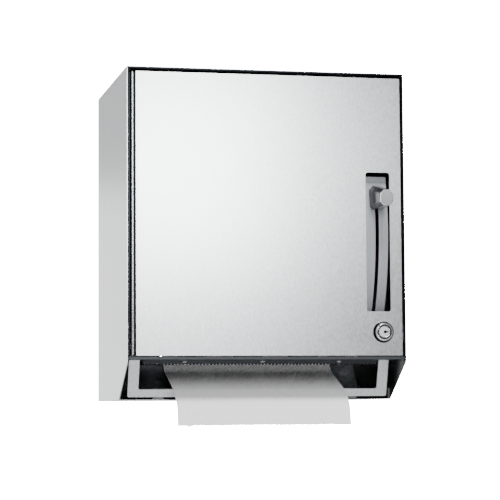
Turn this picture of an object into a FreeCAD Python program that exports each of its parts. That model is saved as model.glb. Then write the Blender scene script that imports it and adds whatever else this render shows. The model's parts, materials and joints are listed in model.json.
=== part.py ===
"""Wall-mounted lever paper towel dispenser, every piece a solid of its own.

Lengths are in millimetres. +X is the viewer's right, +Y goes into the wall and +Z is up.
The origin is the centre of the wall-fixing holes, on the outer face of the back.
"""
import FreeCAD
import Part
import Sketcher
import math
import os
import re

from FreeCAD import Vector

# Driving sizes

SIZES = {
    # cabinet
    "bay_width": 60.0,
    "case_top": 186.0,
    "case_bottom": -186.0,
    "sheet": 1.2,
    "hem_depth": 12.0,
    "chamfer_height": 42.0,
    "chamfer_depth": 66.0,
    "flange": 13.0,
    "wall_hole_spacing_x": 160.0,
    "wall_hole_spacing_z": 260.0,
    "wall_hole_diameter": 6.5,
    # door
    "door_gap_left": 10.0,
    "door_gap_right": 4.4,
    "door_gap_bottom": 7.0,
    "door_gap_top": 5.7,
    "door_flange": 14.0,
    "slot_width": 28.2,
    "slot_offset": 0.2,
    "slot_below": 92.1,
    "slot_above": 66.5,
    "slot_corner": 2.8,
    # piano hinge
    "hinge_inset": 6.2,
    "hinge_set_back": 1.8,
    "knuckle_diameter": 4.6,
    "hinge_pin_diameter": 2.0,
    "knuckle_pitch": 6.3,
    "knuckle_count": 50,
    "knuckle_gap": 0.2,
    "hinge_leaf": 1.0,
    "hinge_leaf_depth": 11.0,
    "running_gap": 0.05,
    "rivet_shank": 2.4,
    "rivet_head": 4.4,
    "rivet_rise": 1.0,
    "screw_shank": 4.0,
    "screw_head": 7.0,
    "screw_rise": 2.4,
    "small_screw_shank": 3.0,
    "small_screw_head": 6.4,
    "small_screw_rise": 1.8,
    # cam lock
    "lock_offset": 4.5,
    "lock_drop": 23.4,
    "bezel_diameter": 25.0,
    "bezel_face_diameter": 17.7,
    "bezel_height": 5.5,
    "lock_barrel_diameter": 19.0,
    "lock_barrel_depth": 18.0,
    "lock_nut_height": 4.0,
    "cam_spigot_diameter": 8.0,
    "lock_plug_diameter": 12.0,
    "cam_length": 20.0,
    "cam_width": 12.0,
    "cam_heel": 7.0,
    "cam_sheet": 2.0,
    "strike_gap": 0.8,
    "strike_sheet": 1.6,
    # lever
    "pivot_y": -20.0,
    "pivot_z": 5.0,
    "pivot_diameter": 10.0,
    "lever_stand_off": 15.0,
    "lever_sheet": 3.0,
    "lever_hub_diameter": 18.0,
    "tongue_rise": 28.0,
    "tongue_height": 12.0,
    "tongue_reach": 24.0,
    "knob_width": 17.0,
    "knob_wall": 4.0,
    "knob_base_rise": 13.5,
    "knob_front_rise": 3.0,
    "knob_reach": 36.0,
    "lever_swing": 28.0,
    "return_spring_wire": 1.5,
    "bumper_diameter": 10.0,
    "bumper_reach": 112.0,
    # lever guard
    "guard_gap": 3.5,
    "guard_sheet": 2.0,
    "guard_side_gap": 1.1,
    "guard_slot": 4.2,
    "guard_rise": 17.0,
    "guard_drop": 30.0,
    "guard_rib": 0.5,
    # gearing
    "gear_module": 2.5,
    "sector_teeth": 118,
    "pinion_teeth": 14,
    "gear_width": 4.0,
    "gear_backlash": 1.1,
    "gear_addendum": 0.8,
    "sector_flank": 20.8,
    "pinion_flank": 22.5,
    # drive roller
    "drive_reach": 105.6,
    "drive_roller_diameter": 38.0,
    "drive_roller_width": 30.0,
    "drive_shaft_diameter": 8.0,
    "drive_core_diameter": 14.0,
    # pinch roller
    "pinch_roller_diameter": 18.0,
    "pinch_shaft_diameter": 6.0,
    "pinch_arm_length": 30.0,
    "pinch_arm_sheet": 2.0,
    "pinch_arm_gap": 3.0,
    "pinch_pin_diameter": 5.0,
    "leaf_spring_width": 8.0,
    "leaf_spring_sheet": 0.6,
    # mechanism frame
    "roll_side_room": 12.0,
    "side_plate_sheet": 1.5,
    "side_plate_rise": 25.0,
    "side_plate_set_back": 26.0,
    "tie_rod_diameter": 8.0,
    # roll
    "roll_diameter": 203.0,
    "roll_width": 200.0,
    "roll_front_room": 16.5,
    "roll_back_room": 18.5,
    "roll_top_room": 8.3,
    "core_diameter": 44.0,
    "core_wall": 1.5,
    "hub_nose": 7.0,
    "hub_flange_diameter": 56.0,
    "hub_screw_shank": 5.0,
    "hub_travel": 8.5,
    "plunger_diameter": 8.0,
    "housing_depth": 24.0,
    "loose_gap": 0.3,
    # paper
    "paper": 0.6,
    "paper_run": 27.0,
    "towel_set_back": 21.0,
    # outlet
    "outlet_side_gap": 8.5,
    "outlet_leg": 12.0,
    "outlet_bar": 9.0,
    "outlet_sheet": 3.0,
    "outlet_foot_hole": 4.8,
    "outlet_tilt": 18.4,
    "outlet_set_back": 43.0,
    "rail_drop": 4.0,
    "rail_behind": 14.0,
    "rail_set_back": 1.6,
    "seat_gap": 1.0,
    "chute_overhang": 30.0,
    "chute_radius": 42.0,
    "chute_reach": 34.4,
    "chute_sheet": 1.5,
}

# Sizes and places that follow from the driving sizes

FOLLOWING = {
    "case_width": "roll_width + 2 * bay_width",
    "case_depth": "roll_diameter + roll_front_room + roll_back_room",
    "roll_y": "-(roll_back_room + roll_diameter / 2)",
    "roll_z": "case_top - sheet - roll_top_room - roll_diameter / 2",
    "chamfer_top": "case_bottom + chamfer_height",
    "chamfer_back": "chamfer_depth - case_depth",
    "door_left": "door_gap_left - case_width / 2",
    "door_right": "case_width / 2 - door_gap_right",
    "door_bottom": "chamfer_top + door_gap_bottom",
    "door_top": "case_top - door_gap_top",
    "side_plate_x": "roll_width / 2 + roll_side_room",
    "side_plate_top": "roll_z + side_plate_rise",
    "side_plate_front": "side_plate_set_back - case_depth",
    "lever_x": "side_plate_x + side_plate_sheet + lever_stand_off",
    "slot_left": "lever_x - slot_offset - slot_width / 2",
    "slot_right": "lever_x - slot_offset + slot_width / 2",
    "slot_bottom": "pivot_z - slot_below",
    "slot_top": "pivot_z + slot_above",
    "lock_x": "lever_x + lock_offset",
    "lock_z": "slot_bottom - lock_drop",
    "hinge_x": "hinge_inset - case_width / 2",
    "hinge_y": "hinge_set_back - case_depth",
    "tongue_bottom": "pivot_z + tongue_rise",
    "tongue_top": "tongue_bottom + tongue_height",
    "tongue_end": "-(case_depth + tongue_reach)",
    "knob_bottom": "tongue_bottom - knob_wall",
    "knob_base_top": "tongue_top + knob_base_rise",
    "knob_front_top": "tongue_top + knob_front_rise",
    "knob_front": "-(case_depth + knob_reach)",
    "guard_radius": "case_depth + pivot_y - guard_gap",
    "guard_right": "slot_right - guard_side_gap",
    "drive_y": "pivot_y - drive_reach",
    "paper_end": "towel_set_back - case_depth",
    "outlet_outer_width": "case_width - 2 * outlet_side_gap",
    "outlet_front": "outlet_set_back - case_depth",
    "chute_width": "roll_width + 2 * chute_overhang",
}

DOC = FreeCAD.newDocument("towel_dispenser")
SHEET = DOC.addObject("Spreadsheet::Sheet", "Sizes")
for row, (alias, number) in enumerate(SIZES.items(), start=1):
    SHEET.set("A%d" % row, alias)
    SHEET.set("B%d" % row, str(number))
    SHEET.setAlias("B%d" % row, alias)
DOC.recompute()

NODES = []


# Expressions

def bound(text):
    """The text with each size's name pointing at its cell, and each following size written out."""
    def named(word):
        if word.group() in FOLLOWING:
            return "(%s)" % bound(FOLLOWING[word.group()])
        return "Sizes." + word.group() if word.group() in SIZES else word.group()
    return re.sub(r"[a-z][a-z_]*", named, str(text))


def value(text):
    """The number that an expression of sizes gives now."""
    return float(SHEET.evalExpression(bound(text)))


def bind(thing, place, text):
    thing.setExpression(place, bound(text))


def node(thing, label):
    """Marks a finished piece, which is written to a file of its own."""
    thing.Label = label
    NODES.append(thing)
    return thing


# Values worked out from the sizes

FRONT = "(-case_depth)"
INNER_X = "(case_width / 2 - sheet)"
HEM_X = "(case_width / 2 - 2 * sheet)"
PIVOT = ("pivot_y", "pivot_z")
SECTOR_RADIUS = "(gear_module * sector_teeth / 2)"
PINION_RADIUS = "(gear_module * pinion_teeth / 2)"
MESH_DISTANCE = "(gear_module * (sector_teeth + pinion_teeth) / 2)"
DRIVE_Z = "(pivot_z - sqrt(%s ^ 2 - (pivot_y - drive_y) ^ 2))" % MESH_DISTANCE
DRIVE = ("drive_y", DRIVE_Z)
NIP_SLANT = "(drive_roller_diameter / 2 + paper + 2 * loose_gap + pinch_roller_diameter / 2)"
PINCH_Y = "(drive_y + %s * cos(45))" % NIP_SLANT
PINCH_Z = "(%s - %s * cos(45))" % (DRIVE_Z, NIP_SLANT)
PINCH = (PINCH_Y, PINCH_Z)
ARM_Y = "(%s + pinch_arm_length * cos(45))" % PINCH_Y
ARM_Z = "(%s + pinch_arm_length * cos(45))" % PINCH_Z
ARM_PIVOT = (ARM_Y, ARM_Z)
PLATE_OUT = "(side_plate_x + side_plate_sheet)"
PLUNGER_COLLAR = ("(%s + 1.5)" % PLATE_OUT, "(%s + 4)" % PLATE_OUT)
HOUSING_CAP = ("(%s + housing_depth)" % PLATE_OUT, "(%s + housing_depth + 2)" % PLATE_OUT)
LEVER_IN = "(lever_x - lever_sheet / 2)"
LEVER_OUT = "(lever_x + lever_sheet / 2)"
HUB_END = "(lever_x + 8)"
ROLL = ("roll_y", "roll_z")
DOOR_BACK = "(sheet - case_depth)"
BACK_IN = "(-sheet)"
RAIL_TOP = "(door_bottom - 1)"
RAIL_BOTTOM = "(door_bottom - rail_drop)"
FLANGE_MIDDLE = "(%s + flange / 2)" % PLATE_OUT
FLANGE_SCREWS = [(side + FLANGE_MIDDLE, level) for side in ("-", "") for level in
                 ("(side_plate_top - 16)", "(%s + 14)" % DRIVE_Z)]
TIE_RODS = [("pivot_y + 8", "pivot_z - 60"), (ARM_Y + " + 22", PINCH_Z + " - 9")]
RIVET_DEPTHS = ["(chamfer_back + 22)", "(-case_depth / 3)", "(-flange)"]
TOP_RIVET_LEVEL = "(case_top - flange / 2)"
BOTTOM_RIVET_LEVEL = "(case_bottom + flange / 2 + sheet)"
HINGE_RIVET_DEPTH = "(hinge_y + hinge_leaf_depth - 3)"
DOOR_HEIGHT = "(door_top - door_bottom)"
HINGE_RIVET_SHARES = (0.06, 0.35, 0.65, 0.94)
HINGE_RIVET_LEVELS = ["(door_bottom + %s * %s)" % (share, DOOR_HEIGHT) for share in HINGE_RIVET_SHARES]
STRIKE_RIVET_DEPTH = "(%s + lock_barrel_depth - strike_gap + 10)" % FRONT
STRIKE_RIVET_LEVELS = ["(lock_z - 6)", "(lock_z + 6)"]
BLADE_SCREWS = ["(-0.45 * roll_width)", "0", "(0.45 * roll_width)"]
BLADE_SCREW_DEPTH = "(outlet_front - 8.2)"
FOOT_SCREW_X = "(outlet_outer_width / 2 - outlet_leg / 2)"
FOOT_SCREW_DEPTH = "(outlet_front + 7)"
RIVET_HOLE = "(rivet_shank + 2 * running_gap)"
SCREW_HOLE = "(screw_shank + 2 * running_gap)"
SMALL_HOLE = "(small_screw_shank + 2 * running_gap)"


# Sketches, bodies and features

def origin_plane(body, plane):
    for feature in body.Origin.OriginFeatures:
        if feature.Role == plane + "_Plane":
            return feature
    raise RuntimeError("no plane " + plane)


def new_body(label):
    body = DOC.addObject("PartDesign::Body", label)
    return node(body, label)


def new_sketch(body, plane, at="0", across="0", up="0", lean=0):
    """A sketch square to one axis: at is its place on that axis, across and up move its own origin."""
    sketch = body.newObject("Sketcher::SketchObject", body.Label + "_sketch")
    sketch.AttachmentSupport = [(origin_plane(body, plane), "")]
    sketch.MapMode = "FlatFace"
    sketch.AttachmentOffset = FreeCAD.Placement(Vector(0, 0, 0), FreeCAD.Rotation(Vector(1, 0, 0), lean))
    sign = "-" if plane == "XZ" else ""
    bind(sketch, "AttachmentOffset.Base.x", across)
    bind(sketch, "AttachmentOffset.Base.y", up)
    bind(sketch, "AttachmentOffset.Base.z", "%s(%s)" % (sign, at))
    return sketch


def pin_point(sketch, geometry, end, across, up):
    """Holds a point of the sketch at two bound distances from its origin."""
    for kind, text in (("DistanceX", across), ("DistanceY", up)):
        index = sketch.addConstraint(Sketcher.Constraint(kind, -1, 1, geometry, end, value(text)))
        name = "%s_%d_%d" % (kind, geometry, end)
        sketch.renameConstraint(index, name)
        bind(sketch, "Constraints." + name, text)


def add_outline(sketch, corners):
    """A closed outline of straight lines through the corners."""
    points = [Vector(value(across), value(up), 0) for across, up in corners]
    first = sketch.GeometryCount
    for index, point in enumerate(points):
        sketch.addGeometry(Part.LineSegment(point, points[(index + 1) % len(points)]), False)
    for index in range(len(points)):
        following = (index + 1) % len(points)
        sketch.addConstraint(Sketcher.Constraint("Coincident", first + index, 2, first + following, 1))
    for index, (across, up) in enumerate(corners):
        pin_point(sketch, first + index, 1, across, up)


def add_circle(sketch, across, up, diameter):
    centre = Vector(value(across), value(up), 0)
    index = sketch.addGeometry(Part.Circle(centre, Vector(0, 0, 1), value(diameter) / 2), False)
    pin_point(sketch, index, 3, across, up)
    constraint = sketch.addConstraint(Sketcher.Constraint("Diameter", index, value(diameter)))
    sketch.renameConstraint(constraint, "diameter_%d" % index)
    bind(sketch, "Constraints.diameter_%d" % index, diameter)


def pad(body, sketch, length):
    feature = body.newObject("PartDesign::Pad", body.Label + "_pad")
    feature.Profile = sketch
    bind(feature, "Length", length)
    DOC.recompute()
    return feature


def pocket(body, sketch, length):
    """Cuts against the sketch's normal, and fails if it meets nothing."""
    before = body.Shape.Volume
    feature = body.newObject("PartDesign::Pocket", body.Label + "_pocket")
    feature.Profile = sketch
    bind(feature, "Length", length)
    DOC.recompute()
    if not body.Shape.Volume < before - 1e-6:
        raise RuntimeError("a cut in %s removed nothing" % body.Label)
    return feature


def span(pair):
    return "(%s) - (%s)" % (pair[1], pair[0])


def pad_outline(body, plane, corners, reach):
    """Adds a plate of this outline between two places on the plane's axis."""
    start = reach[1] if plane == "XZ" else reach[0]
    sketch = new_sketch(body, plane, start)
    add_outline(sketch, corners)
    return pad(body, sketch, span(reach))


def cut_outline(body, plane, corners, reach):
    start = reach[0] if plane == "XZ" else reach[1]
    sketch = new_sketch(body, plane, start)
    add_outline(sketch, corners)
    return pocket(body, sketch, span(reach))


def pad_circles(body, plane, circles, reach):
    start = reach[1] if plane == "XZ" else reach[0]
    sketch = new_sketch(body, plane, start)
    for across, up, diameter in circles:
        add_circle(sketch, across, up, diameter)
    return pad(body, sketch, span(reach))


def cut_circles(body, plane, circles, reach):
    start = reach[0] if plane == "XZ" else reach[1]
    sketch = new_sketch(body, plane, start)
    for across, up, diameter in circles:
        add_circle(sketch, across, up, diameter)
    return pocket(body, sketch, span(reach))


def rectangle(low, high):
    """The four corners between two opposite ones."""
    return [(low[0], low[1]), (high[0], low[1]), (high[0], high[1]), (low[0], high[1])]


def block(label, x, y, z):
    """A plain plate or bar, as a body."""
    body = new_body(label)
    pad_outline(body, "XY", rectangle((x[0], y[0]), (x[1], y[1])), z)
    return body


def add_block(body, x, y, z):
    return pad_outline(body, "XY", rectangle((x[0], y[0]), (x[1], y[1])), z)


def turned(label, axis, centre, profile):
    """A piece turned about an axis through centre. The profile runs (along the axis, radius)."""
    body = new_body(label)
    if axis == "X":
        sketch = new_sketch(body, "XZ", centre[0], "0", centre[1])
    elif axis == "Y":
        sketch = new_sketch(body, "YZ", centre[0], "0", centre[1])
    else:
        sketch = new_sketch(body, "XZ", centre[1], centre[0], "0")
        profile = [(radius, along) for along, radius in profile]
    add_outline(sketch, profile)
    feature = body.newObject("PartDesign::Revolution", label + "_turn")
    feature.Profile = sketch
    feature.ReferenceAxis = (sketch, ["V_Axis" if axis == "Z" else "H_Axis"])
    feature.Angle = 360
    DOC.recompute()
    return body


def soften(body, radius, wanted):
    """Rounds the edges for which wanted says yes."""
    base = body.Tip
    names = ["Edge%d" % (index + 1) for index, edge in enumerate(base.Shape.Edges) if wanted(edge)]
    if not names:
        raise RuntimeError("no edge to round in " + body.Label)
    feature = body.newObject("PartDesign::Fillet", body.Label + "_fillet")
    feature.Base = (base, names)
    bind(feature, "Radius", radius)
    DOC.recompute()
    return feature


def is_along(edge, direction):
    """True for a straight edge that runs along the direction."""
    if not isinstance(edge.Curve, Part.Line):
        return False
    return abs(abs(edge.Curve.Direction.dot(direction)) - 1) < 1e-6


def aimed(shape, direction):
    """The shape turned so that its own +X points along direction."""
    shape = shape.copy()
    shape.Placement = FreeCAD.Placement(Vector(0, 0, 0), FreeCAD.Rotation(Vector(1, 0, 0), direction))
    return shape


def turned_shape(profile):
    """A turned solid about the X axis, from (along, radius) pairs."""
    points = [Vector(along, radius, 0) for along, radius in profile]
    face = Part.Face(Part.makePolygon(points + points[:1]))
    return face.revolve(Vector(0, 0, 0), Vector(1, 0, 0), 360)


def pan_screw(direction, head, head_height, shank, length):
    """A pan-head screw whose head seats at the origin and whose shank points along direction."""
    rim = head_height * 0.6
    crown = head * 0.3
    profile = [(-head_height, 0), (-head_height, crown), (-rim, head / 2), (0, head / 2), (0, shank / 2)]
    profile += [(length, shank / 2), (length, 0)]
    screw = turned_shape(profile)
    arm = head * 0.6
    width = head * 0.13
    deep = head_height * 0.5
    for size in (Vector(deep, arm, width), Vector(deep, width, arm)):
        corner = Vector(-head_height, -size.y / 2, -size.z / 2)
        screw = screw.cut(Part.makeBox(size.x, size.y, size.z, corner))
    return aimed(screw, direction)


def dome_rivet(direction, length):
    """A dome-head rivet whose head seats at the origin and whose shank points along direction."""
    head = value("rivet_head")
    rise = value("rivet_rise")
    shank = value("rivet_shank")
    profile = [(-rise, 0), (-rise, head * 0.22), (-rise * 0.6, head * 0.4), (0, head / 2)]
    profile += [(0, shank / 2), (length, shank / 2), (length, 0)]
    return aimed(turned_shape(profile), direction)


def frame_screw(direction, length):
    return pan_screw(direction, value("screw_head"), value("screw_rise"), value("screw_shank"), length)


def small_screw(direction, length):
    small = (value("small_screw_head"), value("small_screw_rise"), value("small_screw_shank"))
    return pan_screw(direction, *small, length)


# Cabinet

def make_cabinet():
    """Back and both sides folded from one sheet, with hemmed front edges and four wall holes."""
    body = new_body("cabinet_shell")
    side = [(FRONT, "chamfer_top"), ("chamfer_back", "case_bottom"), ("0", "case_bottom"), ("0", "case_top")]
    side += [(FRONT, "case_top")]
    pad_outline(body, "YZ", side, ("-case_width / 2", "case_width / 2"))
    inside = rectangle(("-" + INNER_X, FRONT + " - 1"), (INNER_X, BACK_IN))
    cut_outline(body, "XY", inside, ("case_bottom - 1", "case_top + 1"))
    for low, high in ((HEM_X, INNER_X), ("-" + INNER_X, "-" + HEM_X)):
        add_block(body, (low, high), (FRONT, FRONT + " + hem_depth"), ("chamfer_top", "case_top"))
    holes = []
    for side_sign in ("", "-"):
        for height_sign in ("", "-"):
            across = side_sign + "wall_hole_spacing_x / 2"
            holes.append((across, height_sign + "wall_hole_spacing_z / 2", "wall_hole_diameter"))
    for across, level in FLANGE_SCREWS:
        holes.append((across, level, SCREW_HOLE))
    cut_circles(body, "XZ", holes, (BACK_IN + " - 1", "1"))
    levels = (TOP_RIVET_LEVEL, BOTTOM_RIVET_LEVEL)
    rivets = [(depth, level, RIVET_HOLE) for depth in RIVET_DEPTHS for level in levels]
    cut_circles(body, "YZ", rivets, ("-case_width", "case_width"))
    hinge_holes = [(HINGE_RIVET_DEPTH, level, RIVET_HOLE) for level in HINGE_RIVET_LEVELS]
    cut_circles(body, "YZ", hinge_holes, ("-" + INNER_X, "-" + HEM_X + " + 1"))
    strike_holes = [(STRIKE_RIVET_DEPTH, level, RIVET_HOLE) for level in STRIKE_RIVET_LEVELS]
    cut_circles(body, "YZ", strike_holes, (INNER_X + " - 1", "case_width / 2 + 1"))


def make_top_panel():
    body = block("top_panel", ("-" + HEM_X, HEM_X), (FRONT, BACK_IN), ("case_top - sheet", "case_top"))
    hem = ("case_top - 2 * sheet", "case_top - sheet")
    add_block(body, ("-" + HEM_X, HEM_X), (FRONT, FRONT + " + hem_depth"), hem)
    back = (BACK_IN + " - sheet", BACK_IN)
    add_block(body, ("-" + HEM_X, HEM_X), back, ("case_top - flange", "case_top - sheet"))
    depth = (FRONT + " + hem_depth + 1", BACK_IN)
    for low, high in ((HEM_X, INNER_X), ("-" + INNER_X, "-" + HEM_X)):
        add_block(body, (low, high), depth, ("case_top - flange", "case_top"))
    rivets = [(place, TOP_RIVET_LEVEL, RIVET_HOLE) for place in RIVET_DEPTHS]
    cut_circles(body, "YZ", rivets, ("-case_width", "case_width"))


def make_bottom_panel():
    body = block("bottom_panel", ("-" + HEM_X, HEM_X), ("chamfer_back + 2", BACK_IN),
                 ("case_bottom", "case_bottom + sheet"))
    low = "case_bottom + sheet"
    high = "case_bottom + flange"
    add_block(body, ("-" + HEM_X, HEM_X), (BACK_IN + " - sheet", BACK_IN), (low, high))
    for left, right in ((HEM_X, INNER_X), ("-" + INNER_X, "-" + HEM_X)):
        add_block(body, (left, right), ("chamfer_back + 2", BACK_IN), ("case_bottom", high))
    rivets = [(place, BOTTOM_RIVET_LEVEL, RIVET_HOLE) for place in RIVET_DEPTHS]
    cut_circles(body, "YZ", rivets, ("-case_width", "case_width"))


def make_case_rivets():
    """Rivets of the cabinet: through the flanges of top and bottom, the hinge leaf and the strike."""
    solids = []
    for sign in (-1, 1):
        shape = dome_rivet(Vector(sign, 0, 0), value("2 * sheet") - 0.2)
        for depth in RIVET_DEPTHS:
            for level in (TOP_RIVET_LEVEL, BOTTOM_RIVET_LEVEL):
                solids.append(shape.translated(Vector(sign * value(HEM_X), value(depth), value(level))))
    shape = dome_rivet(Vector(-1, 0, 0), value("hinge_leaf + sheet") - 0.2)
    leaf = value("hinge_leaf - " + HEM_X)
    for level in HINGE_RIVET_LEVELS:
        solids.append(shape.translated(Vector(leaf, value(HINGE_RIVET_DEPTH), value(level))))
    shape = dome_rivet(Vector(1, 0, 0), value("strike_sheet + sheet") - 0.2)
    foot = value(INNER_X + " - strike_sheet")
    for level in STRIKE_RIVET_LEVELS:
        solids.append(shape.translated(Vector(foot, value(STRIKE_RIVET_DEPTH), value(level))))
    solid_node("case_rivets", Part.makeCompound(solids))


def make_lower_rail():
    """Folded rail across the front, just under the door, which carries the outlet frame."""
    wide = ("-" + INNER_X, INNER_X)
    back = "(outlet_front + rail_behind)"
    thick = (RAIL_BOTTOM, RAIL_BOTTOM + " + sheet")
    front = FRONT + " + rail_set_back"
    behind_hem = FRONT + " + hem_depth + seat_gap"
    body = block("lower_rail", ("-" + HEM_X, HEM_X), (front, back), thick)
    add_block(body, ("-" + HEM_X, HEM_X), (front, front + " + sheet"), (RAIL_BOTTOM, RAIL_TOP))
    add_block(body, wide, (behind_hem, back), thick)
    for low, high in ((HEM_X, INNER_X), ("-" + INNER_X, "-" + HEM_X)):
        add_block(body, (low, high), (behind_hem, back), (RAIL_BOTTOM, RAIL_BOTTOM + " + flange"))
    holes = [(across, BLADE_SCREW_DEPTH, SMALL_HOLE) for across in BLADE_SCREWS]
    holes += [(sign + FOOT_SCREW_X, FOOT_SCREW_DEPTH, SMALL_HOLE) for sign in ("-", "")]
    cut_circles(body, "XY", holes, (RAIL_BOTTOM + " - 1", RAIL_BOTTOM + " + sheet + 1"))


def make_outlet_frame():
    """U-shaped frame of the paper outlet. It leans, so that its bar lies further in than its top."""
    body = new_body("outlet_frame")
    length = "((%s - case_bottom - 5) / cos(outlet_tilt))" % RAIL_BOTTOM
    outer = "(outlet_outer_width / 2)"
    inner = "(outlet_outer_width / 2 - outlet_leg)"
    corners = [("-" + outer, "0"), ("-" + outer, "-" + length), (outer, "-" + length), (outer, "0")]
    corners += [(inner, "0"), (inner, "outlet_bar - " + length), ("-" + inner, "outlet_bar - " + length)]
    corners += [("-" + inner, "0")]
    pad_outline(body, "XZ", corners, ("0", "outlet_sheet"))
    soften(body, "2", lambda edge: is_along(edge, Vector(0, 1, 0)) and edge.CenterOfMass.z < -10)
    lip = ("outlet_sheet", "outlet_sheet + 3")
    add_block(body, ("-" + outer + " + 2", outer + " - 2"), lip, ("-" + length, "2 - " + length))
    foot = []
    for back, up in ((0.2, -0.8), (12.0, -0.8), (12.0, 1.2), (-0.4, 1.2)):
        foot.append(("%f * cos(outlet_tilt) + %f * sin(outlet_tilt)" % (back, up),
                     "%f * cos(outlet_tilt) - %f * sin(outlet_tilt)" % (up, back)))
    for left, right in ((inner, outer), ("-" + outer, "-" + inner)):
        pad_outline(body, "YZ", foot, (left, right))
    holes = [(sign + FOOT_SCREW_X, "7 * cos(outlet_tilt)", "outlet_foot_hole") for sign in ("-", "")]
    cut_circles(body, "XY", holes, ("-6", "3"))
    lean = FreeCAD.Rotation(Vector(1, 0, 0), value("outlet_tilt"))
    top = Vector(0, value("outlet_front"), value(RAIL_BOTTOM) - 1.2)
    body.Placement = FreeCAD.Placement(top, lean)


# Door

def make_door_panel():
    """Pan with four flanges, a slot for the lever and a hole for the lock."""
    body = new_body("door_panel")
    low = ("door_left", "door_bottom")
    high = ("door_right", "door_top")
    pad_outline(body, "XZ", rectangle(low, high), (FRONT, DOOR_BACK))
    depth = (DOOR_BACK, FRONT + " + door_flange")
    outer = rectangle(low, high)
    inner_low = ("door_left + sheet", "door_bottom + sheet")
    inner = rectangle(inner_low, ("door_right - sheet", "door_top - sheet"))
    sketch = new_sketch(body, "XZ", depth[1])
    add_outline(sketch, outer)
    add_outline(sketch, inner)
    pad(body, sketch, span(depth))
    slot = rectangle(("slot_left", "slot_bottom"), ("slot_right", "slot_top"))
    cut_outline(body, "XZ", slot, (FRONT + " - 1", DOOR_BACK + " + 1"))

    def is_slot_corner(edge):
        centre = edge.CenterOfMass
        beside = min(abs(centre.x - value("slot_left")), abs(centre.x - value("slot_right"))) < 0.01
        return beside and is_along(edge, Vector(0, 1, 0))

    soften(body, "slot_corner", is_slot_corner)
    hole = ("lock_x", "lock_z", "lock_barrel_diameter + 4 * running_gap")
    cut_circles(body, "XZ", [hole], (FRONT + " - 1", DOOR_BACK + " + 1"))
    rivets = [(HINGE_RIVET_DEPTH, level, RIVET_HOLE) for level in HINGE_RIVET_LEVELS]
    cut_circles(body, "YZ", rivets, ("door_left - 1", "door_left + sheet + 1"))


def make_hinge_leaf(label, side, first):
    """Leaf of the piano hinge. side is -1 for the cabinet's leaf and 1 for the door's."""
    face = "(-%s)" % HEM_X if side < 0 else "door_left"
    inner = "(%s + hinge_leaf)" % face if side < 0 else "(%s - hinge_leaf)" % face
    wide = (face, inner) if side < 0 else (inner, face)
    bottom = "(door_bottom + (door_top - door_bottom - knuckle_pitch * knuckle_count) / 2)"
    top = "(%s + knuckle_pitch * knuckle_count)" % bottom
    body = block(label, wide, ("hinge_y", "hinge_y + hinge_leaf_depth"), (bottom, top))
    start = "(%s + knuckle_pitch * %d)" % (bottom, first)
    reach = (start, start + " + knuckle_pitch - knuckle_gap")
    sketch = new_sketch(body, "XY", reach[0])
    back = ("(hinge_y + knuckle_diameter / 2 - hinge_leaf)", "(hinge_y + knuckle_diameter / 2)")
    bridge = (inner, "hinge_x") if side < 0 else ("hinge_x", inner)
    add_outline(sketch, rectangle((bridge[0], back[0]), (bridge[1], back[1])))
    strip = pad(body, sketch, span(reach))
    ring = pad_circles(body, "XY", [("hinge_x", "hinge_y", "knuckle_diameter")], reach)
    bore = cut_circles(body, "XY", [("hinge_x", "hinge_y", "hinge_pin_diameter + 2 * running_gap")], reach)
    pattern = body.newObject("PartDesign::LinearPattern", label + "_row")
    pattern.Originals = [strip, ring, bore]
    pattern.Direction = (sketch, ["N_Axis"])
    bind(pattern, "Length", "knuckle_pitch * (knuckle_count - 2)")
    bind(pattern, "Occurrences", "knuckle_count / 2")
    body.Tip = pattern
    DOC.recompute()
    rivets = [(HINGE_RIVET_DEPTH, level, RIVET_HOLE) for level in HINGE_RIVET_LEVELS]
    cut_circles(body, "YZ", rivets, (wide[0] + " - 1", wide[1] + " + 1"))


def make_hinge():
    make_hinge_leaf("hinge_leaf_case", -1, 0)
    make_hinge_leaf("hinge_leaf_door", 1, 1)
    half = "(knuckle_pitch * knuckle_count / 2 + 1)"
    middle = "((door_top + door_bottom) / 2)"
    pin = [("%s - %s" % (middle, half), "0"), ("%s + %s" % (middle, half), "0")]
    pin += [(pin[1][0], "hinge_pin_diameter / 2"), (pin[0][0], "hinge_pin_diameter / 2")]
    turned("hinge_pin", "Z", ("hinge_x", "hinge_y"), pin)
    inward = dome_rivet(Vector(-1, 0, 0), value("hinge_leaf + sheet") - 0.2)
    face = value("door_left + sheet")
    solids = []
    for level in HINGE_RIVET_LEVELS:
        solids.append(inward.translated(Vector(face, value(HINGE_RIVET_DEPTH), value(level))))
    solid_node("hinge_rivets_door", Part.makeCompound(solids))


# Cam lock

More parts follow.
